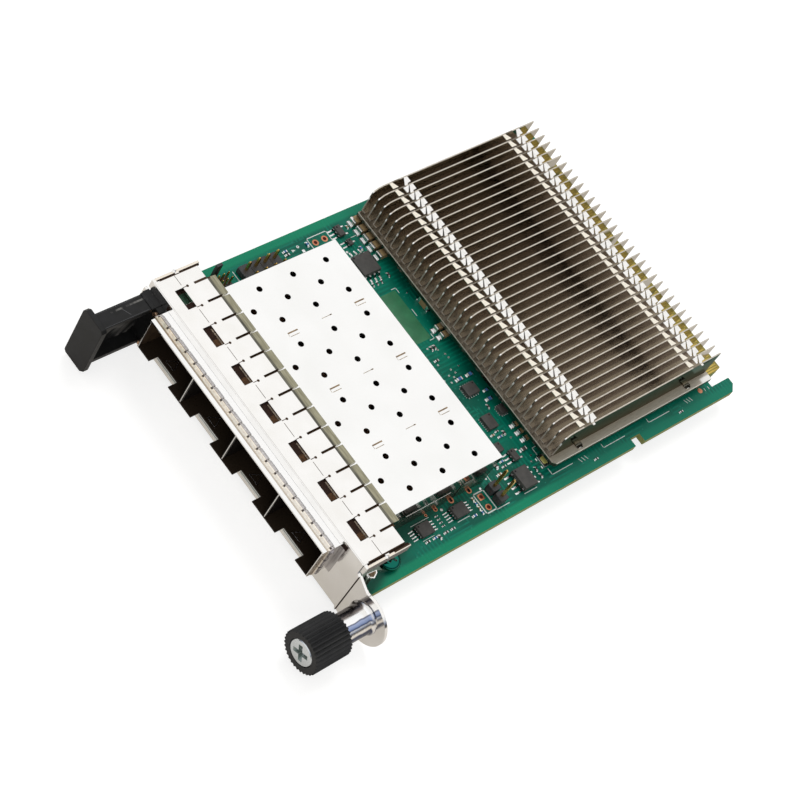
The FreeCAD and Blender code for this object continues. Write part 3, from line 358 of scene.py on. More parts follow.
def bracket_finish():
    """Bright nickel sheet. Painted shade darkens its slits, the dots at the spring fingers' roots, small
    grooves, the front bend, the ramp, the lips' outer faces, the gaps beside the hood and the feet; the
    lips' tops carry a warm painted highlight.
    """
    f = Finish("bracket_nickel")
    wide = abs(f.x)
    f.colour = f.noise(0.2, 3.0).blend(0.35, 0.7, (0.965, 0.95, 0.925), (0.92, 0.90, 0.865))
    along = f.x + (4 * WINDOW_PITCH - WINDOW_X)
    half = WINDOW_PITCH / 4
    # The slits, painted as shade.
    slit = abs((along + half) % (2 * half) - half).under(0.27, 0.03)
    slit = slit * f.y.over(7.05, 0.03) * f.y.under(11.15, 0.05) * f.z.over(10.2, 0.05)
    # The ramp: painted shade with streaks of painted reflection, paler towards the rear.
    ramp = f.y.over(10.25, 0.05) * f.z.over(10.0) * wide.under(32.0, 0.05)
    sheen = f.noise(1.4, 2.0, 0.5, (0.25, 2.0, 1))
    dull = sheen.blend(0.35, 0.65, (0.085, 0.082, 0.066), (0.20, 0.19, 0.145))
    pale = sheen.blend(0.35, 0.65, (0.41, 0.385, 0.27), (0.27, 0.25, 0.17))
    f.paint(ramp, f.mix(f.y.over(10.95, 0.12), dull, pale))
    lead_in = 0.6
    window = (along + lead_in) % WINDOW_PITCH - lead_in
    # Dots and short grooves, painted dark as shade.
    marks = 0.0
    for across in (0.0, 5.0):
        a, b = window - across, f.y - 5.35
        marks = f.maths("SQRT", a * a + b * b).under(0.30, 0.03) | marks
    for x0, x1, y0, y1 in ((-0.08, 0.08, 4.1, 5.2), (4.86, 5.02, 4.1, 5.2), (5.55, 9.1, 4.17, 4.29)):
        marks = window.within(x0, x1) * f.y.within(y0, y1) | marks
    top = f.z.over(HOOD_TOP - 0.05)
    # A grey line of painted shade along the front bend.
    f.paint(f.y.within(-0.60, -0.50) * top * 0.6, (0.42, 0.40, 0.37))
    # A warm painted highlight on the lips' tops.
    cream = wide.over(35.25) * f.z.over(10.6) * f.y.over(0.1, 0.1)
    f.paint(cream, (0.90, 0.82, 0.71))
    # Painted shade in the gaps beside the hood, on a step line of the front plate and on the lips' outer
    # faces.
    gap_shade = wide.within(34.68, 35.0) * f.y.over(0.6, 0.1) * f.z.over(10.0, 0.1)
    step = f.x.near(35.62, 0.09, 0.02) * f.z.under(7.45, 0.1) * f.y.under(-0.35)
    lip = f.z.over(8.5) * f.z.under(10.66, 0.03) * wide.over(35.1, 0.05) * f.y.over(0.05, 0.05)
    # The feet painted dark green: a painted reflection of the shaded board.
    foot = f.z.over(0.6) * f.z.under(0.78, 0.01) * f.y.over(0.1)
    f.paint(foot * 0.9, (0.035, 0.075, 0.045))
    # All these marks are painted shade, a dark brown that is not metal.
    dark = marks * top | slit | step | lip * 0.85 | gap_shade
    f.paint(dark, (0.050, 0.027, 0.013))
    fine = f.noise(5.0, 3.0, 0.6)
    f.soften_edges(0.08)
    f.bump(fine, 0.10, 0.01)
    f.bump(f.noise(0.10, 1.0), 0.2, 0.02)
    return f.done(
        Metallic=1.0 - dark,
        Roughness=fine.spread(0.11, 0.17) + dark * 0.4,
        Specular_IOR_Level=0.2,
    )


def gasket_finish():
    """Spring fingers: cream cells with painted shade at their roots, bends and front tips and in the gaps
    between them, a streaked painted reflection on their flanks, and a bright tail behind them.
    """
    f = Finish("spring_finger_metal")
    pitch = 3.0
    gap = abs((f.x + (100 * pitch - CAGE_X)) % pitch - pitch / 2).under(0.20, 0.05)
    fine = f.noise(2.2, 4.0, 0.6)
    right = f.x.over(-12.0, 22.0)
    cream = fine.blend(0.35, 0.65, (0.98, 0.90, 0.72), (0.78, 0.60, 0.42))
    cream = f.mix(right, f.noise(0.35, 2.0).blend(0.4, 0.6, (0.36, 0.35, 0.27), cream), cream)
    cream = f.mix(right * 0.6, cream, (0.97, 0.94, 0.88))
    lilac = fine.blend(0.35, 0.65, (0.72, 0.69, 0.68), (0.48, 0.45, 0.44))
    f.colour = f.mix(f.y.over(-4.02, 0.08), cream, lilac)
    # Painted shade along the roots, the bends and the front tips, stronger to the left, and a grey band of
    # it before the tail.
    f.paint(f.y.within(-4.06, -3.90, 0.03) * right.span(0.0, 1.0, 0.9, 0.25), (0.075, 0.045, 0.025))
    f.paint(f.y.within(-3.72, -3.62, 0.03) * right.span(0.0, 1.0, 0.8, 0.3), (0.10, 0.075, 0.05))
    f.paint(f.y.under(-4.70, 0.03) * right.span(0.0, 1.0, 0.8, 0.4), (0.16, 0.10, 0.05))
    f.paint(f.y.within(-3.44, -3.31, 0.03) * 0.85, (0.10, 0.08, 0.07))
    f.paint(f.y.within(-3.31, -3.08, 0.03), (0.50, 0.48, 0.45))
    f.paint(f.y.over(-3.08, 0.03), (0.97, 0.96, 0.945))
    # Painted shade in the gaps between the fingers.
    spot = gap * f.y.within(-4.28, -3.78, 0.05)
    f.paint(spot, (0.03, 0.012, 0.006))
    # The flanks at the cage's sides: a streaked painted reflection, darker than the top.
    flank = abs(f.x - CAGE_X).over(28.82, 0.03) * f.y.over(-4.55, 0.05)
    streaks = f.noise(1.6, 3.0, 0.6, (1, 1, 0.5))
    f.paint(flank, streaks.blend(0.42, 0.58, (0.16, 0.145, 0.145), (0.50, 0.47, 0.48)))
    f.soften_edges(0.05)
    f.bump(fine, 0.15, 0.02)
    return f.done(Metallic=1.0 - spot, Roughness=fine.spread(0.16, 0.28))


def floor_finish():
    """The cage floor: painted shade in the ports, black near their mouths and brown further back; bright on
    its underside and its front lips, with a grey band of painted reflection across the lips.
    """
    f = Finish("cage_floor_nickel")
    bright = f.z.under(1.05, 0.01)
    steel = f.noise(0.3, 3.0).blend(0.3, 0.7, (0.90, 0.91, 0.88), (0.68, 0.71, 0.65))
    # A grey band of painted reflection across the lips.
    steel = f.mix(f.z.within(0.55, 0.85, 0.04) * 0.8, steel, (0.20, 0.205, 0.19))
    # Painted shade in the ports, black near their mouths and brown further back.
    floor_shade = f.mix(f.y.over(16.0, 3.0), (0.026, 0.018, 0.012), (0.34, 0.17, 0.09))
    f.colour = f.mix(bright, floor_shade, steel)
    f.soften_edges(0.05)
    f.bump(f.noise(3.0, 3.0), 0.15, 0.02)
    rough = f.noise(2.5, 3.0).spread(0.25, 0.45)
    return f.done(Metallic=bright * 0.35, Roughness=rough, Specular_IOR_Level=0.2)


def divider_finish():
    """Painted shade: black walls between the ports, with a painted highlight of bright metal on the right
    half of their front edges.
    """
    f = Finish("divider_nickel")
    across = (f.x + (2.5 * PORT_PITCH - CAGE_X)) % PORT_PITCH - PORT_PITCH / 2
    # Painted highlight on the right half of each front edge; the rest is painted black as shade.
    edge = f.y.under(-5.4, 0.05) * across.over(-0.03, 0.03)
    f.colour = f.mix(edge, (0.009, 0.007, 0.006), (0.82, 0.81, 0.78))
    f.bump(f.noise(3.0, 3.0), 0.15, 0.02)
    return f.done(Metallic=edge, Roughness=f.noise(2.5).spread(0.3, 0.5))


def fin_finish():
    """Folded fins: polished faces that mirror each other and sheared edges, with painted light: a dark band
    of painted reflection before the rear interlock, a painted reflection of the board on the last fin's
    outer face, painted shade and highlights on the front edges and on the last fin's foot tongues, painted
    shade in the interlocks, and interlock tabs painted bright as highlights.
    """
    f = Finish("fin_metal")
    across = (f.x + (4 * FIN_PITCH - FIN_X)) % FIN_PITCH
    sheet = across.under(0.31, 0.01) | across.over(2.01, 0.005)
    edge = abs(f.facing()[0]).under(0.5, 0.05)
    streak = f.noise(0.5, 3.0, 0.6, (0.3, 0.25, 2.0))
    f.colour = streak.blend(0.3, 0.7, (0.41, 0.37, 0.30), (0.46, 0.415, 0.34))
    # The last fin's outer face: a painted reflection of the board, dark green above and brown below, and a
    # green tint on what it mirrors.
    outer = f.x.over(31.84)
    f.paint(outer, f.mix(f.z.over(6.2, 3.0), (0.30, 0.24, 0.17), (0.12, 0.27, 0.24)))
    # A dark braided band of painted reflection before the rear interlock.
    dark_reflection_band = f.y.over(89.6, 1.6) * f.y.under(95.2, 1.2) * f.x.within(-34.9, 31.7, 0.05)
    braid = f.noise(0.9, 3.0, 0.6, (1, 1.4, 0.7)).span(0.40, 0.62, 0.15, 1.0)
    f.paint(dark_reflection_band * braid * 0.85, (0.20, 0.165, 0.12))
    f.paint(edge, f.noise(1.5, 2.0).blend(0.3, 0.7, (0.66, 0.61, 0.53), (0.54, 0.49, 0.42)))
    foot = f.z.under(3.6, 0.03)
    f.paint(foot * edge, (0.46, 0.40, 0.32))
    # The last fin's foot tongues: a dark line of painted shade, and white painted highlights by the
    # interlocks.
    clip = f.mix(f.x.near(32.5, 0.14, 0.03), (0.035, 0.028, 0.022), (0.42, 0.38, 0.34))
    for start in INTERLOCKS:
        clip = f.mix(f.y.near(start + 2.9, 0.42, 0.05) * f.x.over(33.2, 0.03), clip, (0.96, 0.93, 0.88))
    f.paint(foot * f.x.over(32.25), clip)
    # The front edges: a flat grey-brown in place of their mirror, as a painted reflection, with painted
    # shade between a painted glint and a painted highlight at the top corner.
    nose = edge * f.y.under(FIN_FRONT + 0.03, 0.01)
    f.paint(nose, (0.36, 0.325, 0.275))
    f.paint(nose * f.z.within(7.75, 9.35, 0.05) * 0.85, (0.03, 0.024, 0.018))
    glint = nose * f.z.within(6.9, 7.75, 0.05)
    tip = edge * f.y.under(FIN_FRONT + 0.3) * f.z.over(9.3)
    f.paint(glint | tip, (0.97, 0.96, 0.94))
    warm = 0.0
    # Painted shade inside the interlocks.
    for start in INTERLOCKS:
        inside = f.y.within(start + 0.95, start + 3.05) * sheet * f.z.over(FIN_TOP - 0.3)
        f.paint(inside * 0.8, (0.16, 0.135, 0.10))
        warm = f.y.near(start + 0.8, 0.9, 0.05) | warm
    # The interlock tabs painted near-white as highlights, warmer at their front ends.
    tab = f.z.over(FIN_TOP - 0.24) * (1.0 - sheet)
    white = f.noise(0.9, 2.0).blend(0.3, 0.7, (0.96, 0.945, 0.92), (0.88, 0.86, 0.82))
    f.paint(tab, f.mix(warm, white, (0.92, 0.86, 0.74)))
    f.soften_edges(0.05)
    f.bump(streak, 0.03, 0.002)
    return f.done(
        Metallic=1.0 - nose * 0.95,
        Specular_Tint=f.mix(outer, (1.0, 1.0, 1.0), (0.30, 0.32, 0.29)),
        Roughness=streak.spread(0.05, 0.10) + (edge | tab) * 0.18,
    )


def sink_finish():
    """The base plate: dull grey-brown, with a painted reflection of the fins on its top ahead of them,
    painted highlights on its front edge, its right strip, its right edge and its rear corner, and painted
    shade on its sides.
    """
    f = Finish("sink_base_metal")
    fine = f.noise(5.0, 3.0, 0.6, (2.5, 0.15, 1))
    f.colour = f.noise(0.22, 3.0).blend(0.35, 0.7, (0.30, 0.245, 0.205), (0.235, 0.19, 0.155))
    # Ahead of the fins its top carries a painted reflection of them.
    ahead = f.noise(0.9, 2.0).blend(0.4, 0.6, (0.34, 0.31, 0.26), (0.22, 0.195, 0.16))
    f.paint(f.y.under(60.0, 1.2), ahead)
    # A painted highlight along its front edge.
    lip = f.y.under(57.96, 0.03) * f.z.over(2.86, 0.03)
    f.paint(lip, (0.62, 0.57, 0.49))
    # The strip right of the last fin: a paler painted reflection, with painted highlights on its edge and at
    # the rear corner.
    strip = f.x.over(31.95, 0.05)
    f.paint(strip, fine.blend(0.35, 0.65, (0.50, 0.45, 0.38), (0.38, 0.34, 0.28)))
    f.paint(f.x.over(33.72, 0.04) * f.z.over(2.95, 0.03), (0.82, 0.76, 0.68))
    f.paint(f.y.over(104.9, 0.3) * f.x.over(32.7, 0.2), (0.95, 0.92, 0.88))
    # Painted shade on its sides.
    f.paint(f.z.under(2.9, 0.03), (0.12, 0.115, 0.09))
    f.soften_edges(0.06)
    f.bump(fine, 0.05, 0.005)
    return f.done(Metallic=1.0 - lip, Roughness=fine.spread(0.17, 0.26) + strip * 0.2)


def ferrule_finish():
    """Polished barrel with painted reflection bands along its length, plain on its ends."""
    f = Finish("ferrule_chrome")
    right, ahead, up = f.facing()
    # Painted reflection: dark, white and blue-grey bands set by which way the surface faces.
    side = right * -0.478 + up * 0.149 + 0.5 + f.noise(0.5, 2.0).spread(-0.012, 0.012)
    bands = f.ramp(side, [
        (0.00, (0.02, 0.025, 0.05)), (0.12, (0.05, 0.06, 0.11)), (0.16, (0.92, 0.88, 0.82)),
        (0.31, (0.96, 0.94, 0.91)), (0.35, (0.05, 0.07, 0.14)), (0.40, (0.24, 0.30, 0.48)),
        (0.48, (0.36, 0.42, 0.60)), (0.52, (0.10, 0.11, 0.17)), (0.55, (0.98, 0.98, 0.98)),
        (0.72, (0.95, 0.94, 0.93)), (0.78, (0.22, 0.19, 0.18)), (0.90, (0.10, 0.09, 0.095)),
    ])
    f.colour = f.mix(abs(ahead).over(0.6, 0.1), bands, (0.78, 0.77, 0.76))
    fine = f.noise(4.0, 2.0)
    f.bump(fine, 0.05, 0.01)
    return f.done(Metallic=1.0, Roughness=fine.spread(0.16, 0.22))


def tab_finish():
    """Black moulding with a fine grain, and painted streaks of glossy highlight inside its channel."""
    f = Finish("tab_plastic")
    fine = f.noise(4.5, 4.0, 0.65)
    f.colour = f.noise(0.35, 3.0).blend(0.4, 0.75, (0.0125, 0.0125, 0.0122), (0.019, 0.019, 0.020))
    slant = f.value("ShaderNodeVectorRotate", {"Vector": f.place, "Angle": 0.7}, rotation_type="X_AXIS")
    # Slanted streaks of painted highlight inside the channel.
    gloss_streaks = f.noise(1.0, 3.0, 0.5, (0.2, 0.9, 0.12), slant).span(0.50, 0.66)
    well = f.x.within(-33.9, -33.5) * f.y.over(-14.7, 0.1)
    f.paint(well * gloss_streaks, (0.16, 0.155, 0.145))
    f.soften_edges(0.22)
    f.bump(fine, 0.3, 0.02)
    return f.done(Roughness=fine.spread(0.36, 0.48), Specular_IOR_Level=0.2)


def capacitor_finish():
    """Speckled tan ceramic."""
    f = Finish("ceramic")
    speck = f.noise(7.0, 4.0, 0.7)
    f.colour = speck.blend(0.3, 0.7, (0.245, 0.165, 0.075), (0.33, 0.235, 0.12))
    f.soften_edges(0.06)
    f.bump(speck, 0.2, 0.01)
    return f.done(Roughness=speck.spread(0.32, 0.5))


def resin_finish():
    """Moulded chip resin: grey-black and finely pitted."""
    f = Finish("chip_resin")
    pits = f.noise(9.0, 4.0, 0.7)
    f.colour = f.noise(0.8, 3.0).blend(0.35, 0.7, (0.036, 0.035, 0.033), (0.060, 0.056, 0.051))
    f.paint(pits.spread(0.0, 0.35), (0.090, 0.084, 0.076))
    f.soften_edges(0.05)
    f.bump(pits, 0.35, 0.015)
    return f.done(Roughness=pits.spread(0.40, 0.58))


def print_finish():
    """White board print, thin enough to let some green through."""
    f = Finish("white_print")
    fine = f.noise(6.0, 3.0, 0.6)
    f.colour = fine.blend(0.3, 0.7, (0.78, 0.80, 0.78), (0.60, 0.66, 0.62))
    f.bump(fine, 0.2, 0.01)
    return f.done(Roughness=fine.spread(0.5, 0.7))


NICKEL = metal("plain_nickel", (0.965, 0.95, 0.925), 0.13)
STEEL = metal("zinc_steel", (0.74, 0.78, 0.80), 0.25, 0.08, 0.86)
RECESS = metal("recess_steel", (0.50, 0.57, 0.54), 0.42, 0.04, 0.6)
# Steel tinted dark green for the foot screws: a painted reflection of the board in their heads.
TINTED = metal("foot_screw_green_reflection", (0.010, 0.15, 0.11), 0.12, 0.08, 0.8)
DUSK = metal("shaded_finger_metal", (0.60, 0.57, 0.56), 0.35, 0.10, 0.8, 0.1)
SPRING = metal("spring_wire", (0.60, 0.59, 0.57), 0.22, 0.02)
BRASS = metal("stake_copper", (0.80, 0.52, 0.34), 0.3, 0.06, 0.8)
GOLD = metal("contact_gold", (0.66, 0.48, 0.12), 0.30, 0.04, 0.86)
PIN_GOLD = metal("pin_gold", (0.80, 0.53, 0.16), 0.24, 0.04, 0.72)
TIN = metal("solder_tin", (0.90, 0.90, 0.89), 0.24, 0.04, 0.84)
COPPER = metal("bare_copper", (0.72, 0.30, 0.17), 0.38, 0.04, 0.75)
KNOB = plastic("knob_plastic", (0.0145, 0.0147, 0.0150), 0.50, 5.0, 0.04, 0.32)
# A paler plastic for painted highlights along the pull tab's rims.
RIM_HIGHLIGHT = plastic("tab_rim_highlight", (0.085, 0.085, 0.09), 0.5, 6.0, 0.02)
HEADER = plastic("header_plastic", (0.030, 0.031, 0.033), 0.42, 6.0, 0.1)
SOCKET = plastic("socket_plastic", (0.010, 0.010, 0.010), 0.5, 5.0, 0.08)
BLUE = plastic("resistor_blue", (0.05, 0.14, 0.33), 0.4, 6.0, 0.05)
LIGHT_GREEN = plastic("bare_mask", (0.030, 0.155, 0.070), 0.45, 3.0, 0.02)
YELLOW = plastic("crystal_window", (0.45, 0.42, 0.12), 0.35, 4.0, 0.04)
GEL = plastic("thermal_gel", (0.25, 0.26, 0.28), 0.6, 3.0, 0.05)
# Painted light and shade for recesses, holes and the sheets under the hood: umber paints dim light in the
# window wells, beige paints edge highlights, deep green the board in shade, and the via barrels are copper
# in painted shade.
SHADE = shade("recess_shade", (0.017, 0.008, 0.005), 0.6)
BROWN = shade("shade_brown", (0.20, 0.14, 0.085), 0.4)
UMBER = shade("well_dim_light", (0.050, 0.024, 0.010), 0.5)
SLIT_SHADE = shade("slit_shade_brown", (0.085, 0.045, 0.020), 0.5)
BEIGE = shade("edge_highlight", (0.30, 0.25, 0.19), 0.4)
DEEP_GREEN = shade("shaded_board_green", (0.018, 0.045, 0.026), 0.45)
HOLE = shade("hole_shade", (0.006, 0.005, 0.005), 0.6)
RED_HOLE = shade("via_barrel_shade", (0.055, 0.008, 0.004), 0.45)
BOARD = board_finish()
BRACKET = bracket_finish()
CAGE = cage_finish()
FLOOR = floor_finish()
DIVIDER = divider_finish()
GASKET = gasket_finish()
FIN = fin_finish()
SINK = sink_finish()
CHROME = ferrule_finish()
TAB = tab_finish()
CERAMIC = capacitor_finish()
RESIN = resin_finish()
PRINT = print_finish()


# Meshes
class Form:
    """Faces in millimetres, each with the number of its material."""

    def __init__(self, *finishes):
        self.finishes = finishes
        self.points = []
        self.faces = []
        self.marks = []

    def add(self, points, faces, mark=0):
        start = len(self.points)
        self.points.extend(tuple(p) for p in points)
        self.faces.extend(tuple(start + i for i in face) for face in faces)
        self.marks.extend([mark] * len(faces))

    def loft(self, rings, mark=0, close=True, ends=True):
        """A skin over rings that have the same number of points."""
        count = len(rings[0])
        points = [p for ring in rings for p in ring]
        faces = []
        for a in range(0, len(points) - count, count):
            b = a + count
            for i in range(count if close else count - 1):
                j = (i + 1) % count
                faces.append((a + i, a + j, b + j, b + i))
        if ends:
            faces.append(tuple(range(count))[::-1])
            faces.append(tuple(range(len(points) - count, len(points))))
        self.add(points, faces, mark)

    def prism(self, outline, z0, z1, mark=0):
        self.loft([[(x, y, z) for x, y in outline] for z in (z0, z1)], mark)

    def slab(self, x0, x1, y0, y1, z0, z1, edge=0.05, corner=0.05, mark=0):
        """A block with rounded upright corners and softened top and bottom edges."""
        levels = ((z0, edge), (z0 + edge, 0), (z1 - edge, 0), (z1 - edge * 0.3, edge * 0.3), (z1, edge))
        self.loft([ring(x0, x1, y0, y1, z, corner, inset) for z, inset in levels], mark)

    def lathe(self, profile, centre, axis="z", count=24, mark=0, ends=True):
        """A turned shape from (radius, height) pairs along an axis."""
        turns = [2 * math.pi * i / count for i in range(count)]
        rings = [[polar(centre, radius, height, a, axis) for a in turns] for radius, height in profile]
        self.loft(rings, mark, ends=ends)

    def line(self, x0, y0, x1, y1, width=0.18, z=0.0, rise=0.02, mark=0):
        """A thin raised stroke on a flat face."""
        along = Vector((x1 - x0, y1 - y0)).normalized() * (width / 2)
        side = Vector((-along.y, along.x))
        a = Vector((x0, y0)) - along
        b = Vector((x1, y1)) + along
        self.prism([tuple(p) for p in (a - side, b - side, b + side, a + side)], z, z + rise, mark)

    def lead(self, root, out, width, high, reach, mark, shaded):
        """A gull-wing lead from a chip's side: out is its direction along the board."""
        thick = 0.15
        out = Vector((*out, 0))
        side = Vector((-out.y, out.x, 0)) * (width / 2)
        path = [
            (-0.05, high), (0.22 * reach, high), (0.42 * reach, high * 0.45), (0.52 * reach, thick),
            (reach, thick), (reach, 0.02), (0.42 * reach, 0.02), (0.30 * reach, high * 0.40),
            (0.16 * reach, high - thick), (-0.05, high - thick),
        ]
        middle = [Vector((*root, 0)) + out * s + Vector((0, 0, z)) for s, z in path]
        at = len(self.marks)
        self.loft([[p - side for p in middle], [p + side for p in middle]], mark)
        self.marks[at + 1] = self.marks[at + 2] = shaded

    def blob(self, x, y, wide, long, high, mark=0):
        """A domed pad of solder."""
        small = min(wide, long)
        rings = []
        for level in range(4):
            t = level / 3 * math.pi / 2
            inset = small * 0.42 * (1 - math.cos(t))
            box = (x - wide / 2, x + wide / 2, y - long / 2, y + long / 2)
            rings.append(ring(*box, high * math.sin(t), small * 0.28, inset, 3))
        self.loft(rings, mark)

    def washer(self, x, y, inner, outer, z0, z1, count, mark, hole_mark):
        """A flat ring with a soft rim, and a floor in its hole; a dark floor is painted shade for the hole's
        depth.
        """
        lift = z1 - z0
        profile = [(inner, z0), (inner, z1 - lift * 0.3), (inner + lift * 0.3, z1)]
        profile += [(outer - lift * 0.4, z1), (outer, z0)]
        self.lathe(profile, (x, y, 0), "z", count, mark, ends=False)
        turns = [2 * math.pi * i / count for i in range(count)]
        points = [polar((x, y, z0), inner, lift * 0.15, a, "z") for a in turns]
        self.add(points, [tuple(range(count))], hole_mark)


def ring(x0, x1, y0, y1, z, corner, inset=0.0, steps=2):
    """A rectangle with rounded corners as a loop of points."""
    x0, x1, y0, y1 = x0 + inset, x1 - inset, y0 + inset, y1 - inset
    radius = max(1e-4, min(corner - inset * 0.5, (x1 - x0) / 2.01, (y1 - y0) / 2.01))
    left, right, front, back = x0 + radius, x1 - radius, y0 + radius, y1 - radius
    points = []
    for quarter, (cx, cy) in enumerate(((right, back), (left, back), (left, front), (right, front))):
        for step in range(steps + 1):
            angle = math.radians(90 * quarter + 90 * step / steps)
            points.append((cx + radius * math.cos(angle), cy + radius * math.sin(angle), z))
    return points


def polar(centre, radius, height, angle, axis):
    a = radius * math.cos(angle)
    b = radius * math.sin(angle)
    x, y, z = centre
    return {
        "x": (x + height, y + a, z + b),
        "y": (x + a, y + height, z + b),
        "z": (x + a, y + b, z + height),
    }[axis]


def mesh_object(name, form, crease=32):
    """An object from a form, smooth but for edges sharper than the crease in degrees."""
    mesh = bpy.data.meshes.new(name)
    mesh.from_pydata([tuple(c * MM for c in p) for p in form.points], [], form.faces)
    for finish in form.finishes:
        mesh.materials.append(finish)
    mesh.polygons.foreach_set("material_index", form.marks)
    work = bmesh.new()
    work.from_mesh(mesh)
    bmesh.ops.recalc_face_normals(work, faces=work.faces)
    work.to_mesh(mesh)
    work.free()
    mesh.shade_smooth()
    mesh.set_sharp_from_angle(angle=math.radians(crease))
    obj = bpy.data.objects.new(name, mesh)
    scene.collection.objects.link(obj)
    return obj


def piece(name, form, body="card"):
    """A piece of trim that rides on a body."""
    obj = mesh_object(name, form)
    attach(obj, body)


def dressed(node, form, body="card", crease=32):
    """A piece that stands for a CAD node and rides on its body."""
    obj = mesh_object(node + "_dressed", form, crease)
    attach(obj, body)
    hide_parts(node)
    return obj


def driven_screw(form, centre, axis, profile, face, floor, reach, half, turn, count=96):
    """A turned screw whose head has a tapering cross recess."""
    def cross(angle):
        c, s = abs(math.cos(angle)), abs(math.sin(angle))
        return min(reach / max(c, s), half / max(min(c, s), 1e-6))

    angles = [2 * math.pi * i / count for i in range(count)]
    rings = [[polar(centre, radius, height, a, axis) for a in angles] for radius, height in profile]
    for share, depth in ((1.0, 0.0), (0.9, 0.12), (0.62, 0.62), (0.12, 1.0)):
        at = face + (floor - face) * depth
        rings.append([polar(centre, share * cross(a - turn), at, a, axis) for a in angles])
    form.loft(rings)
    form.marks[-3 * count - 2:-count - 2] = [1] * (2 * count)


# Materials for the CAD nodes that are seen as they are
worn = {
    "circuit_board": BOARD, "front_bracket": BRACKET, "heatsink_screws": STEEL, "pull_tab": TAB,
    "thumbscrew_retaining_ring": STEEL, "thumbscrew_ferrule": CHROME, "pull_tab_rivets": BRASS,
    "heatsink_standoffs": BRASS, "cage_shell": CAGE, "cage_floor": FLOOR, "cage_dividers": DIVIDER,
    "cage_gasket": GASKET, "heatsink_base": SINK, "heatsink_fins": FIN, "controller_chip": RESIN,
    "thermal_pad": GEL, "header_key": HEADER,
}
worn.update({f"port_connector_{index}": SOCKET for index in (1, 2, 3, 4)})
for name, finish in worn.items():
    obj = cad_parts[name]
    if not obj.material_slots:
        obj.data.materials.append(finish)
    for holder in obj.material_slots:
        holder.material = finish


# Chips with bent leads
FRONT, BACK, LEFT, RIGHT = (0, -1), (0, 1), (-1, 0), (1, 0)


def leaded_chip(node, wide, reach, first, pitch, leads):
    """Body, leads and solder of one chip within its CAD box. Each side has the numbers of its leads."""
    x0, x1, y0, y1, _, top = extent(node)
    if FRONT in leads:
        start = x0 + first
        y0, y1 = y0 + reach, y1 - reach
    else:
        start = y0 + first
        x0, x1 = x0 + reach, x1 - reach
    form = Form(RESIN, TIN, HOLE)
    parting = 0.12 + (top - 0.12) * 0.52
    levels = (
        (0.12, 0.06, 0.14), (parting - 0.04, 0.06, 0.0), (parting + 0.04, 0.06, 0.0),
        (top - 0.05, 0.08, 0.10), (top, 0.08, 0.16),
    )
    form.loft([ring(x0, x1, y0, y1, z, corner, inset) for z, corner, inset in levels])
    dimple = [(0.22, top - 0.02), (0.20, top + 0.004), (0.0, top + 0.004)]
    form.lathe(dimple, (x0 + 0.55, y0 + 0.55, 0), "z", 16, 2)
    edges = {FRONT: y0, BACK: y1, LEFT: x0, RIGHT: x1}
    for (ox, oy), numbers in leads.items():
        edge = edges[ox, oy]
        pad = 1.0 if (ox, oy) == FRONT else 0.55
        away = reach + 0.12 + pad * 0.18
        for number in numbers:
            spot = start + pitch * number
            root = (spot, edge) if oy else (edge, spot)
            form.lead(root, (ox, oy), wide, top * 0.52, reach, 1, 2)
            size = (wide * 1.25, pad) if oy else (pad, wide * 1.25)
            form.blob(root[0] + ox * away, root[1] + oy * away, *size, 0.12, 1)
    dressed(node, form)


for node, wide, reach, first, pitch, leads in (
    ("monitor_chip_front", 0.26, 0.95, 0.5, 0.66, {FRONT: range(4), BACK: range(4)}),
    ("monitor_chip_rear", 0.26, 0.95, 0.5, 0.66, {FRONT: range(4), BACK: range(4)}),
    ("flash_memory_chip", 0.42, 1.05, 0.55, 1.27, {FRONT: range(4), BACK: range(4)}),
    ("eeprom_chip", 0.42, 1.3, 0.6, 1.27, {LEFT: range(4), RIGHT: range(4)}),
    ("supervisor_chip", 0.36, 0.8, 0.45, 0.95, {FRONT: (0, 1, 2), BACK: (0, 2)}),
    ("reset_chip", 0.36, 0.8, 0.45, 0.95, {FRONT: (0, 1, 2), BACK: (0, 2)}),
    ("switch_chip", 0.34, 0.7, 0.35, 0.5, {FRONT: (0, 2), BACK: (1,)}),
):
    leaded_chip(node, wide, reach, first, pitch, leads)


# Leadless chips
def leadless_chip(form, x0, x1, y0, y1, count_x, count_y):
    """A flat chip with its side terminals and the solder at their feet."""
    form.slab(x0, x1, y0, y1, 0.03, 0.9, 0.04, 0.06)
    form.lathe([(0.18, 0.88), (0.16, 0.904), (0.0, 0.904)], (x0 + 0.45, y1 - 0.45, 0), "z", 14, 2)
    for i in range(count_x):
        at = x0 + (x1 - x0) * (i + 0.5) / count_x
        for y in (y0 - 0.14, y1 + 0.14):
            form.blob(at, y, 0.26, 0.42, 0.16, 1)
    for i in range(count_y):
        at = y0 + (y1 - y0) * (i + 0.5) / count_y
        for x in (x0 - 0.14, x1 + 0.14):
            form.blob(x, at, 0.42, 0.26, 0.16, 1)


for node, chips in (
    ("regulator_chips", [(9.0, 11.8, 53.0, 56.3, 6, 5), (16.8, 20.2, 52.0, 54.6, 7, 0)]),
    ("buffer_chips", [(16.3, 18.4, 57.2, 59.3, 4, 4), (23.2, 25.3, 50.2, 51.8, 4, 0)]),
):
    form = Form(RESIN, TIN, HOLE)
    for chip in chips:
        leadless_chip(form, *chip)
    dressed(node, form)


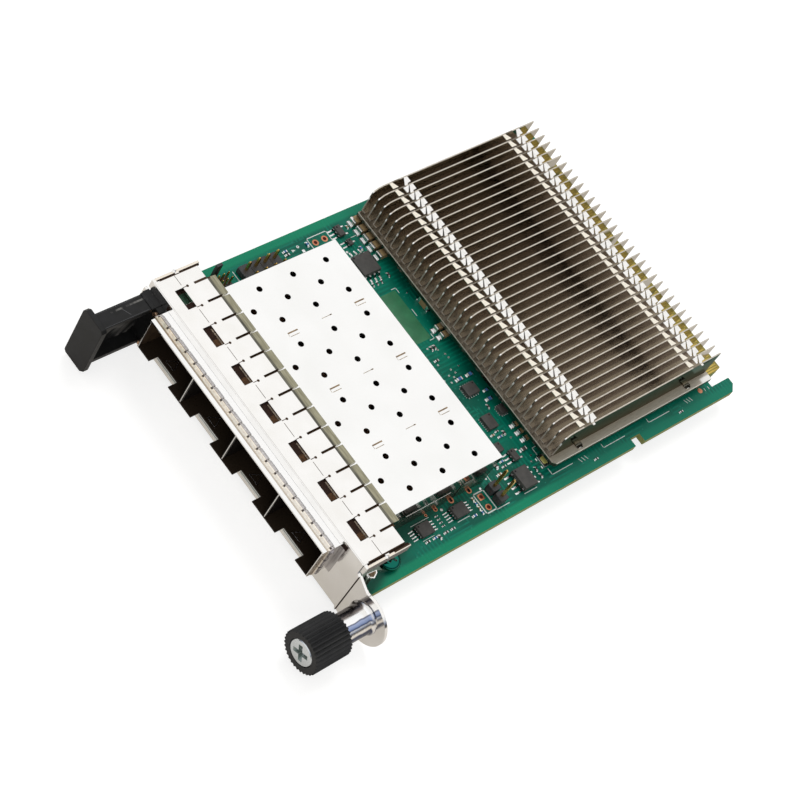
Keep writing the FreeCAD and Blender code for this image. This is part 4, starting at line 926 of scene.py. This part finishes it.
# Capacitors and other two-ended parts
def two_ended(form, x, y, long, wide, high, turned=False, cap=0.2, body=0, solder=0.35):
    """A chip part with metal ends and solder fillets, lying along Y, or along X if turned."""
    half, side = long / 2, wide / 2
    soft = min(0.08, wide * 0.1)

    def block(a0, a1, reach, z0, z1, mark):
        box = (x + a0, x + a1, y - reach, y + reach) if turned else (x - reach, x + reach, y + a0, y + a1)
        form.slab(*box, z0, z1, soft, soft * 1.5, mark)

    block(-half * 0.86, half * 0.86, side * 0.94, 0.03, high * 0.96, body)
    for way in (-1, 1):
        block(*sorted((way * half, way * half * (1 - 2 * cap))), side, 0.01, high, 1)
        shift = way * (half + solder * 0.3)
        if turned:
            form.blob(x + shift, y, solder, wide * 1.08, high * 0.3, 1)
        else:
            form.blob(x, y + shift, wide * 1.08, solder, high * 0.3, 1)


for node, xs, wide, solder in (
    ("bulk_capacitors", (-34.3, -31.9, -29.6, -27.3, -24.9), 1.75, 0.7),
    ("decoupling_capacitors", (-4.7, -2.75), 1.3, 0.9),
):
    _, _, y0, y1, _, high = extent(node)
    form = Form(CERAMIC, TIN)
    for x in xs:
        two_ended(form, x, (y0 + y1) / 2, y1 - y0, wide, high, solder=solder)
    dressed(node, form)
x0, x1, y0, y1, _, high = extent("input_capacitor")
form = Form(CERAMIC, TIN)
two_ended(form, (x0 + x1) / 2, (y0 + y1) / 2, x1 - x0, y1 - y0, high, turned=True)
dressed("input_capacitor", form)
x0, x1, y0, y1, _, top = extent("crystal_oscillator")
form = Form(TIN, YELLOW)
form.slab(x0, x1, y0, y1, 0.03, top - 0.15, 0.05, 0.12)
form.slab(x0 + 0.55, x1 - 0.55, y0 + 0.45, y1 - 0.45, top - 0.2, top, 0.06, 0.3, 1)
for x in (x0 + 0.4, x1 - 0.4):
    for y in (y0 + 0.05, y1 - 0.05):
        form.blob(x, y, 0.75, 0.45, 0.2)
dressed("crystal_oscillator", form)


# Pin headers
def header_base(node, pitch):
    """Four moulded cells of two pins, with chamfered corners where they meet."""
    x0, x1, y0, y1, _, high = extent(node)
    form = Form(HEADER)
    half, cut = pitch / 2, pitch * 0.14
    corners = [(-pitch, cut - half), (-pitch, half - cut), (cut - pitch, half), (pitch - cut, half)]
    corners += [(-a, -b) for a, b in corners]
    for row in range(4):
        x, y = (x0 + x1) / 2, (y0 + y1) / 2 + (row - 1.5) * pitch
        rings = [[(x + a, y + b, z) for a, b in corners] for z in (0.04, high - 0.12)]
        rings.append([(x + a * 0.965, y + b * 0.93, high) for a, b in corners])
        form.loft(rings)
    return form


def header_pins(node, rows, pitch, half):
    """Two columns of square pins with pointed tips, and solder cones round their tails."""
    x0, x1, y0, y1, _, top = extent(node)
    form = Form(PIN_GOLD, TIN)
    tail = BOARD_UNDERSIDE
    levels = ((tail - 0.33, 0.55), (tail - 0.18, 1.0), (top - half * 1.3, 1.0), (top, 0.42))
    cone = [(pitch * 0.30, tail - 0.005), (pitch * 0.26, tail - 0.05)]
    cone += [(half * 1.6, tail - 0.23), (half * 0.9, tail - 0.29)]
    for x in ((x0 + x1 - pitch) / 2, (x0 + x1 + pitch) / 2):
        for row in range(rows):
            y = (y0 + y1) / 2 + (row - (rows - 1) / 2) * pitch
            rings = []
            for z, share in levels:
                h = half * share
                rings.append([(x + a * h, y + b * h, z) for a, b in ((-1, -1), (1, -1), (1, 1), (-1, 1))])
            form.loft(rings)
            form.lathe(cone, (x, y, 0), "z", 14, 1)
    dressed(node, form)


form = header_base("debug_header_base", 2.54)
form.slab(-34.9, -32.4, 24.95, 25.55, 0.05, 1.5, 0.06, 0.1)
dressed("debug_header_base", form)
header_pins("debug_header_pins", 4, 2.54, 0.27)
dressed("config_header_base", header_base("config_header_base", 1.27))
header_pins("config_header_pins", 4, 1.27, 0.18)
form = Form(HEADER)
for x in (31.3, 33.84):
    form.slab(x - 1.12, x + 1.12, 41.95, 44.25, 0.04, 2.1, 0.12, 0.35)
dressed("strap_header_base", form)
header_pins("strap_header_pins", 1, 2.54, 0.30)


# Thumbscrew: knob, screw, spring and the ferrule's foot ring
def knob():
    """A ribbed knob: ribs run along its side and fade at both chamfers."""
    ribs, depth = 32, 0.44
    total = ribs * 8
    form = Form(KNOB)
    rows = [
        (3.05, -15.5, 0.0), (3.05, -16.40, 0.0), (3.14, -16.5, 0.0), (4.30, -16.5, 0.0), (4.62, -16.5, 0.9),
        (4.75, -16.38, 1.0), (4.75, -15.0, 1.0), (4.73, -12.0, 1.0), (4.70, -9.0, 1.0), (4.68, -7.55, 1.0),
        (4.58, -7.42, 0.95), (4.30, -7.4, 0.5), (3.55, -7.4, 0.0), (3.5, -7.6, 0.0), (3.5, -13.4, 0.0),
    ]
    rings = []
    for radius, along, share in rows:
        loop = []
        for i in range(total):
            angle = 2 * math.pi * i / total
            valley = 0.5 + 0.5 * math.cos(ribs * angle)
            loop.append(polar(SCREW_AXIS, radius - depth * share * valley ** 0.95, along, angle, "y"))
        rings.append(loop)
    form.loft(rings, ends=False)
    bore = [(3.5, -13.4), (1.32, -13.4), (1.32, -14.4), (3.05, -14.4), (3.05, -15.5)]
    form.lathe(bore, SCREW_AXIS, "y", total, ends=False)
    dressed("thumbscrew_knob", form, "thumbscrew", 40)


def captive_screw():
    """Turned screw: chamfered head, plain shank and cut thread at its tip."""
    form = Form(STEEL, RECESS)
    profile = [(0.01, 0.2), (0.6, 0.2), (0.85, 0.12), (1.0, -0.15)]
    at = -0.35
    while at > -5.0:
        profile += [(1.24, at), (1.0, at - 0.22)]
        at -= 0.45
    profile += [(1.25, -5.4), (1.25, -14.2), (1.45, -14.4), (2.8, -14.42), (2.95, -14.6)]
    profile += [(2.95, -16.35), (2.78, -16.54), (2.4, -16.6)]
    driven_screw(form, SCREW_AXIS, "y", profile, face=-16.6, floor=-15.1, reach=1.95, half=0.52, turn=0.45)
    dressed("thumbscrew_screw", form, "thumbscrew", 28)


def spring():
    """A coil spring with closed ends."""
    form = Form(SPRING)
    radius, wire, turns = 1.83, 0.2, 6.0
    front, rear = -6.78, -0.72
    steps = int(turns * 28)
    rings = []
    for i in range(steps + 1):
        t = i / steps
        ease = t * t * (3 - 2 * t) * 0.25 + t * 0.75
        along = front + (rear - front) * ease
        loop = []
        for k in range(8):
            a = 2 * math.pi * k / 8
            at = along + wire * math.sin(a)
            loop.append(polar(SCREW_AXIS, radius + wire * math.cos(a), at, turns * 2 * math.pi * t, "y"))
        rings.append(loop)
    form.loft(rings)
    obj = dressed("thumbscrew_spring", form)
    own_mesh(obj)


knob()
captive_screw()
spring()
form = Form(CHROME)
foot = [(3.23, -1.35), (3.32, -1.05), (3.6, -0.72), (3.7, -0.6), (3.7, -0.505), (3.23, -0.505)]
form.lathe(foot, SCREW_AXIS, "y", 48)
piece("ferrule_foot", form)

# Screws with cross recesses that hold the bracket's feet
for index, x in ((1, FOOT_SCREW_X), (2, -FOOT_SCREW_X)):
    # The heads take a steel tinted green as a painted reflection of the board.
    form = Form(TINTED, RECESS)
    profile = [(0.02, -2.6), (0.9, -2.6), (1.15, -2.35), (1.15, 0.70), (2.3, 0.71), (2.3, 1.0)]
    profile += [(2.22, 1.35), (1.95, 1.68), (1.6, 1.9), (1.3, 2.0)]
    place = (x, FOOT_SCREW_Y, 0)
    driven_screw(form, place, "z", profile, face=2.0, floor=1.0, reach=1.2, half=0.28, turn=0.5)
    dressed(f"bracket_screw_{index}", form)


# Hood: dark sheets of painted shade under its windows and slits, with painted light in the windows, painted
# shade in the gaps beside its lips, and small folds
# A thin sheet under the hood in the given finish: dark for painted shade, paler for painted light.
def well(form, x0, x1, y0, y1, z0, z1, mark, edge=0.01, corner=0.02):
    form.slab(x0, x1, y0, y1, z0, z1, edge, corner, mark)


form = Form(SHADE, UMBER, DEEP_GREEN, BEIGE, SLIT_SHADE)
base, rim = HOOD_UNDERSIDE, HOOD_UNDERSIDE + 0.065
for k in range(WINDOWS):
    x0 = WINDOW_X + WINDOW_PITCH * k
    x1 = x0 + WINDOW_WIDE
    if k:
        well(form, x0 - 0.35, x1 + 0.35, 1.8, 4.5, base, rim, 0)
        # A brown patch of painted dim light at the lit end of the well.
        well(form, x0 + 2.9, x1 - 0.1, 2.6, 4.0, rim, rim + 0.005, 1, 0.002, 0.4)
        # Two painted highlights along the window's rear edge.
        for y0, y1 in ((4.06, 4.18), (4.32, 4.42)):
            well(form, x0 + 0.5, x1 - 0.1, y0, y1, rim + 0.005, rim + 0.015, 3, 0.004)
    else:
        # The first window, past the cage's end: painted shade over the board, with a dark green patch for
        # the board in shade.
        well(form, -28.3, x1 + 0.35, 1.8, 4.5, base, rim, 0)
        well(form, -32.4, -28.45, 1.2, 5.0, 9.55, 9.65, 0)
        well(form, -31.0, -28.5, 2.6, 4.5, 9.65, 9.68, 2, 0.004, 0.1)
for k in range(1, 2 * WINDOWS):
    x = WINDOW_X + WINDOW_PITCH / 2 * k
    # Brown painted shade under each slit.
    well(form, x - 0.45, x + 0.45, 6.8, 10.0, base, rim, 4)
    if x < 31:
        well(form, x - 0.3, x + 0.3, 10.0, 11.1, base - 0.003, base + 0.035, 4)
# Painted shade in the gaps beside the lips.
for side in (-1, 1):
    for y0, y1 in ((-0.05, 4.85), (5.95, 11.0)):
        well(form, *sorted((side * 34.93, side * 35.28)), y0, y1, 10.2, 10.6, 0)
piece("hood_shade", form)
form = Form(NICKEL)
knot = ((-0.5, 0), (0, -0.6), (0.35, 0), (0, 0.6))
for x in (-35.6, 35.6):
    levels = ((10.6, 0.9), (10.78, 1.0), (10.88, 0.55))
    form.loft([[(x + a * share, 5.0 + b * share, z) for a, b in knot] for z, share in levels])
piece("hood_lip_knots", form)
form = Form(NICKEL)
fillet = ((-1.7, 10.415), (-0.805, 10.415), (-0.805, 10.975))
form.loft([[(x, y, z) for y, z in fillet] for x in (-28.3, 28.9)])
piece("hood_front_fillet", form)
form = Form(DUSK, SHADE)
for x0, x1 in ((28.98, 30.1), (-29.5, -28.38)):
    form.slab(x0, x1, -0.96, -0.81, 0.62, 9.3, 0.02, 0.04, 0)
    form.slab(x0, x1 + 0.3, -0.96, -0.81, 9.3, 10.3, 0.02, 0.04, 1)
piece("gasket_side_shade", form)
# Latch triangles on the port floors, drawn as thin metal strokes: painted glints in the dark ports.
form = Form(DUSK)
for k in range(4):
    x = -21.5 + PORT_PITCH * k
    left, tip, right = (x - 1.35, -2.75), (x, -0.35), (x + 1.25, -2.75)
    for start, end in ((left, tip), (tip, right), (left, right)):
        form.line(*start, *end, 0.16, 1.345)
piece("cage_latch_marks", form)
form = Form(NICKEL, BROWN)
form.prism([(34.55, 4.6), (34.75, 7.1), (35.35, 6.8), (36.05, 5.5), (35.5, 4.6)], 2.35, 2.5)
# A brown patch of painted shade on the ear's top.
form.prism([(34.7, 4.9), (34.85, 6.75), (35.25, 6.5), (35.75, 5.5), (35.35, 4.9)], 2.51, 2.53, 1)
form.slab(34.6, 35.4, 4.3, 4.62, 0.72, 2.5)
piece("hood_foot_ear", form)

# Cage: latch lances over each divider, drawn as brown strokes of painted shade with thin painted highlights,
# and the ledge and slits on its side walls, the slits in painted shade
form = Form(BROWN, BEIGE)
rise = 0.012
for k in (-1, 0, 1):
    x = CAGE_X + PORT_PITCH * k
    for y in (37.8, 19.7):
        form.line(x, y - 1.15, x, y + 1.15, 0.32, CAGE_TOP, rise)
        form.line(x + 0.85, y - 1.0, x + 0.85, y + 1.1, 0.15, CAGE_TOP, rise, 1)
        form.line(x + 0.2, y - 1.3, x + 0.8, y - 1.3, 0.08, CAGE_TOP, rise, 1)
    form.line(x + 0.1, 27.5, x + 0.1, 29.9, 0.13, CAGE_TOP, rise, 1)
    form.line(x + 0.1, 29.7, x + 0.1, 30.0, 0.24, CAGE_TOP, rise)
piece("cage_lances", form)
form = Form(NICKEL, SHADE)
for side in (-1, 1):
    wall = CAGE_X + side * CAGE_HALF
    low, high = sorted((wall, wall + side * 0.06))
    form.slab(low, high, 18.5, 31.0, 4.62, 4.95, 0.02, 0.01)
    for y in (14.5, 33.5):
        form.slab(low, high, y, y + 0.12, 1.0, 6.5, 0.01, 0.01, 1)
        form.slab(low, high, y, y + 2.6, 6.5, 6.62, 0.01, 0.01, 1)
piece("cage_side_lances", form)

# Contacts in the module connectors' mouths
def places(start, pitch, count):
    return [start + pitch * i for i in range(count)]


form = Form(GOLD)
for index in (1, 2, 3, 4):
    x0, x1, y0, _, _, _ = extent(f"port_connector_{index}")
    for x in places((x0 + x1) / 2 - 3.6, 0.8, 10):
        for z in (3.68, 5.04):
            form.slab(x - 0.17, x + 0.17, y0 + 0.3, y0 + 5.0, z, z + 0.18, 0.03, 0.03)
piece("module_contacts", form)

# Edge contacts on the rear tongue, both faces, with gaps at its key slots
form = Form(GOLD)
for i, x in enumerate(places(-31.8, 0.6, 107)):
    if any(abs(x - key) < 1.35 for key in (-20.9, 0.0, 12.5)):
        continue
    short = 0.5 if i % 7 == 3 else 0.0
    form.slab(x - 0.19, x + 0.19, 110.0, 114.6 - short, -0.005, 0.028, 0.008, 0.06)
    below = BOARD_UNDERSIDE - 0.028
    form.slab(x - 0.19, x + 0.19, 110.0, 114.6, below, BOARD_UNDERSIDE + 0.005, 0.008, 0.06)
piece("edge_contacts_gold", form)

# White print: outlines and generic marks only
INK = 0.018
form = Form(PRINT)
for width, points in (
    (0.28, [(30.35, 38.75), (35.15, 38.75), (35.15, 41.6), (30.35, 41.6), (30.35, 38.75)]),
    (0.18, [(35.35, 41.6), (35.35, 45.0)]),
    (0.14, [(27.8, 44.6), (29.9, 44.6)]),
    (0.20, [(-35.2, 44.8), (-32.2, 44.8), (-32.2, 50.2), (-35.2, 50.2), (-35.2, 44.8)]),
    (0.16, [(29.3, 60.2), (27.6, 60.2), (27.6, 58.5), (29.3, 58.5)]),
    (0.16, [(33.1, 58.5), (34.6, 58.5), (34.6, 64.6)]),
    (0.16, [(34.0, 74.0), (34.9, 74.0), (34.9, 80.6)]),
    (0.16, [(34.0, 88.4), (34.9, 88.4), (34.9, 95.0)]),
    (0.14, [(29.95, 21.6), (29.95, 26.4)]),
    (0.14, [(33.75, 31.6), (33.75, 34.8)]),
    (0.14, [(35.3, 49.6), (35.3, 53.2)]),
    (0.10, [(33.75, 21.9), (33.75, 25.0)]),
    (0.16, [(-17.0, 54.6), (-17.0, 55.8), (-15.7, 55.8)]),
    (0.16, [(-11.1, 55.8), (-9.4, 55.8)]),
    (0.16, [(-4.4, 55.8), (-3.2, 55.8), (-3.2, 54.6)]),
    (0.20, [(-35.0, 24.3), (-32.2, 24.3)]),
    (0.14, [(-31.9, 17.0), (-31.9, 21.8)]),
    (0.12, [(-31.5, 56.0), (-31.5, 54.6)]),
):
    for start, end in zip(points, points[1:]):
        form.line(*start, *end, width, rise=INK)
form.prism([(-34.35, 39.8), (-33.65, 39.8), (-33.95, 40.75)], 0.0, 0.02)
for y in (66.6, 67.5, 68.4, 100.4, 101.2, 102.0):
    form.line(34.4, y, 35.3, y + 0.35, 0.14, rise=INK)
for y in (107.2, 108.4, 109.6):
    form.line(34.3, y, 34.9, y, 0.12, rise=INK)
piece("board_print", form)

# Paler mask where a label outline was printed
form = Form(LIGHT_GREEN)
form.slab(-16.6, -3.6, 50.6, 55.3, -0.01, 0.006, 0.003, 0.3)
piece("board_patch", form)

# Plated holes, fiducials and test pads
form = Form(COPPER, HOLE, RED_HOLE, TIN)
# Hole floors in painted shade: black in some holes, reddish for a copper barrel in others.
for (z0, z1, count, mark, hole_mark), rounds in {
    (0.0, 0.04, 22, 0, 1): [(29.15, 38.6, 0.36, 0.66), (29.15, 33.5, 0.36, 0.66)],
    (0.0, 0.04, 22, 0, 2): [(29.25, 29.0, 0.28, 0.48), (29.35, 26.2, 0.18, 0.34), (34.06, 40.1, 0.46, 0.76)],
    (0.03, 0.05, 22, 0, 2): [(31.48, 40.1, 0.46, 0.58)],
    (0.0, 0.04, 24, 0, 2): [(-33.67, 48.73, 0.42, 0.78), (-33.67, 46.17, 0.42, 0.78)],
    (0.0, 0.03, 24, 0, 0): [(34.28, 105.88, 0.02, 0.62), (-34.3, 110.6, 0.02, 0.5)],
    (0.0, 0.03, 16, 3, 1): [(-34.4, 41.7, 0.16, 0.34)],
    (0.0, 0.05, 18, 3, 3): [
        (29.9, 30.15, 0.02, 0.32), (29.9, 41.2, 0.02, 0.28),
        (-28.8, 51.3, 0.02, 0.3), (30.0, 56.2, 0.02, 0.25),
    ],
}.items():
    for x, y, inner, outer in rounds:
        form.washer(x, y, inner, outer, z0, z1, count, mark, hole_mark)
form.slab(30.75, 32.2, 39.38, 40.82, 0.0, 0.03, 0.01, 0.05, 0)
form.slab(-33.35, -32.65, 41.95, 42.65, 0.0, 0.05, 0.02, 0.08, 3)
piece("board_holes", form)


# Small vias scattered over the free board, on both faces
def by_sink_screw(x, y, room):
    return abs(abs(x) - SINK_SCREW_X) < room and any(abs(y - at) < room for at in SINK_SCREW_YS)


rng = random.Random(11)
form = Form(TIN, HOLE)
room = 0.5
# Boxes of parts that the vias keep clear of: x0, x1, y0, y1
taken = [
    (-29.5, 30.2, -8.0, 43.4), (29.6, 35.6, 18.5, 60.8), (-36.0, -18.8, 49.0, 61.0),
    (-13.0, -1.5, 56.0, 61.0), (7.8, 20.8, 51.0, 60.2), (22.6, 29.0, 49.4, 54.8),
    (-17.5, -2.8, 49.8, 56.4), (-35.6, -31.8, 38.5, 50.8),
]
placed = []
tries = 0
while len(placed) < 90 and tries < 6000:
    tries += 1
    x, y = rng.uniform(-36.0, 30.0), rng.uniform(43.6, 57.6)
    over_part = any(x0 - room < x < x1 + room and y0 - room < y < y1 + room for x0, x1, y0, y1 in taken)
    if over_part or any(abs(x - a) + abs(y - b) < 1.2 for a, b in placed):
        continue
    placed.append((x, y))
    form.washer(x, y, 0.10, 0.23, 0.0, 0.018, 12, 0, 1)
for _ in range(300):
    x, y = rng.uniform(-36.5, 36.5), rng.uniform(3.0, 108.0)
    by_foot = abs(abs(x) - FOOT_SCREW_X) < 3.2 and abs(y - FOOT_SCREW_Y) < 3.2
    if not by_foot and not by_sink_screw(x, y, 3.2):
        form.washer(x, y, 0.10, 0.24, BOARD_UNDERSIDE, BOARD_UNDERSIDE - 0.018, 12, 0, 1)
piece("board_vias", form)

# Small two-ended parts. Each has its place, its colour and its size, and some lie along X.
TAN, BLUE_BODY, BLACK = 0, 2, 3
ALONG, ACROSS = False, True
form = Form(CERAMIC, TIN, BLUE, RESIN)


def small(x, y, turned, kind, size):
    two_ended(form, x, y, 1.0 * size, 0.52 * size, 0.36 * size, turned, 0.26, kind, 0.28 * size)


for x in (30.55, 31.35, 32.15, 33.0):
    small(x, 28.1, ALONG, BLACK, 0.62)
for (turned, kind), spots in {
    (ALONG, TAN): [(29.3, 47.3, 1.1), (21.3, 52.2, 0.9)],
    (ACROSS, TAN): [(31.15, 37.95, 0.8), (33.35, 37.95, 0.8), (-34.0, 55.4, 0.8)],
    (ALONG, BLUE_BODY): [
        (34.35, 24.7, 0.95), (34.3, 35.9, 1.05), (27.1, 49.9, 0.9), (7.3, 57.25, 1.5), (7.3, 54.25, 1.5),
        (12.0, 58.2, 1.2), (14.0, 57.4, 1.5), (22.3, 53.6, 1.0), (-34.45, 38.15, 1.0),
    ],
    (ACROSS, BLUE_BODY): [(32.25, 37.95, 0.8), (34.45, 37.95, 0.8), (-28.3, 54.9, 0.95), (-34.0, 44.0, 1.0)],
    (ALONG, BLACK): [
        (34.45, 29.55, 0.95), (34.45, 27.65, 0.95), (34.35, 22.65, 0.95), (28.25, 49.6, 0.9),
        (1.5, 52.5, 1.0), (20.95, 53.7, 0.8), (-33.6, 38.15, 1.0), (-28.9, 45.9, 1.0),
        (36.3, 70.4, 0.9), (36.3, 97.6, 0.9),
    ],
    (ACROSS, BLACK): [
        (34.65, 25.75, 0.95), (31.9, 55.85, 0.95), (33.6, 55.85, 0.95), (27.3, 47.9, 1.3),
        (15.35, 55.95, 0.95), (-1.35, 54.3, 1.0), (-1.35, 53.4, 1.0), (21.9, 55.0, 0.95),
        (-20.3, 56.4, 1.0), (-19.55, 53.8, 0.7), (-19.55, 52.6, 0.7), (-19.55, 51.4, 0.7),
    ],
}.items():
    for x, y, size in spots:
        small(x, y, turned, kind, size)
for y in (64.5, 71.0, 79.5, 86.2, 93.7, 98.4):
    small(-36.2, y, ALONG, rng.choice((TAN, BLACK)), 1.0)
for x in (21.5, 23.35, 25.2):
    two_ended(form, x, 58.75, 2.0, 1.1, 0.9, ALONG, 0.25, TAN, 0.8)
two_ended(form, 27.0, 56.3, 1.6, 0.8, 0.7, ALONG, 0.25, BLACK, 0.4)
piece("small_parts", form)

# Small parts and solder on the underside, denser below the controller chip
form = Form(CERAMIC, TIN, BLUE, RESIN)
below = []
for _ in range(420):
    x, y = rng.uniform(-35.5, 35.5), rng.uniform(14.0, 107.0)
    turned = rng.random() < 0.5
    size = rng.choice((1.0, 1.0, 1.3, 1.6))
    crowd = abs(x) < 16 and 66 < y < 98
    if not crowd and rng.random() < 0.72:
        continue
    if any(abs(x - a) < 2.0 and abs(y - b) < 2.0 for a, b in below) or by_sink_screw(x, y, 4.2):
        continue
    by_pins = x < -28.5 and 15 < y < 36 or x > 29 and 41 < y < 46
    if by_pins or x > 35.0 and y > 80:
        continue
    below.append((x, y))
    start = len(form.points)
    kind = rng.choice((TAN, TAN, BLACK))
    two_ended(form, x, y, 1.0 * size, 0.52 * size, 0.4 * size, turned, 0.26, kind, 0.28)
    form.points[start:] = [(px, py, BOARD_UNDERSIDE - pz) for px, py, pz in form.points[start:]]
piece("small_parts_below", form)

# Pull tab: collar by the plate, and strokes on the arm in a paler plastic as painted highlights along its
# rims and across its channel
form = Form(TAB, RIM_HIGHLIGHT)
form.slab(-34.95, -30.8, -3.35, -2.45, 8.7, 9.0, 0.08, 0.1)
form.slab(-34.95, -34.75, -3.35, -2.45, -3.6, 8.85, 0.08, 0.1)
arm_top = 8.79
form.line(-33.6, -8.9, -31.7, -7.9, 0.09, arm_top, 0.015, 1)
for x in (-34.55, -31.15):
    form.line(x, -14.6, x, -3.8, 0.05, arm_top, 0.012, 1)
piece("pull_tab_seams", form)


# Floor, lights and world
def stage_floor():
    """A pale floor: matte in its own light, brighter to the camera, faint and warm in metal."""
    material = bpy.data.materials.new("stage_floor")
    n = Nodes(material)
    camera, mirrored = n.rays()
    matte = n.value("ShaderNodeBsdfDiffuse", {"Color": (0.45, 0.445, 0.435)})
    glow = n.value("ShaderNodeEmission", {"Color": (1.0, 1.0, 1.0), "Strength": camera * 0.72})
    warm = n.value("ShaderNodeEmission", {"Color": (1.0, 0.92, 0.82), "Strength": mirrored * 0.34})
    light = n.value("ShaderNodeAddShader", {0: glow, 1: warm})
    surface = n.value("ShaderNodeAddShader", {0: matte, 1: light})
    n.add("ShaderNodeOutputMaterial", {"Surface": surface})
    form = Form(material)
    size, steps, height = 2500, 8, -6.15
    marks = [-size + 2 * size * i / steps for i in range(steps + 1)]
    form.loft([[(x, y, height) for y in marks] for x in marks], close=False, ends=False)
    mesh_object("stage_floor", form)


def soft_light(name, spot, power, size):
    """A round lamp in metres and watts that lights the card without showing in its metal."""
    data = bpy.data.lights.new(name, "AREA")
    data.shape = "DISK"
    data.size = size
    data.energy = power
    obj = bpy.data.objects.new(name, data)
    scene.collection.objects.link(obj)
    obj.location = spot
    obj.rotation_euler = (Vector((0, 0.05, 0)) - Vector(spot)).to_track_quat("-Z", "Y").to_euler()
    obj.visible_glossy = False


def studio_world():
    """White for the camera, grey for soft light, and in metal a sky that is dark below and white above."""
    scene.world = bpy.data.worlds.new("studio")
    n = Nodes(scene.world)
    camera, mirrored = n.rays()
    height = n.split(n.value("ShaderNodeTexCoord", output="Generated"))[2]
    sky = n.ramp(height, [
        (0.0, (0.05, 0.045, 0.04)), (0.14, (0.06, 0.055, 0.055)), (0.27, (0.24, 0.28, 0.38)),
        (0.42, (0.75, 0.77, 0.80)), (0.60, (1.0, 1.0, 1.0)),
    ])
    light = n.mix(mirrored, (0.62, 0.62, 0.62), sky)
    colour = n.mix(camera, light, (1.0, 1.0, 1.0))
    surface = n.value("ShaderNodeBackground", {"Color": colour, "Strength": 1.0})
    n.add("ShaderNodeOutputWorld", {"Surface": surface})


stage_floor()
studio_world()
soft_light("key_light", (-0.25, 0.30, 0.75), power=2.4, size=0.45)
soft_light("fill_light", (0.50, -0.45, 0.45), power=0.9, size=0.5)
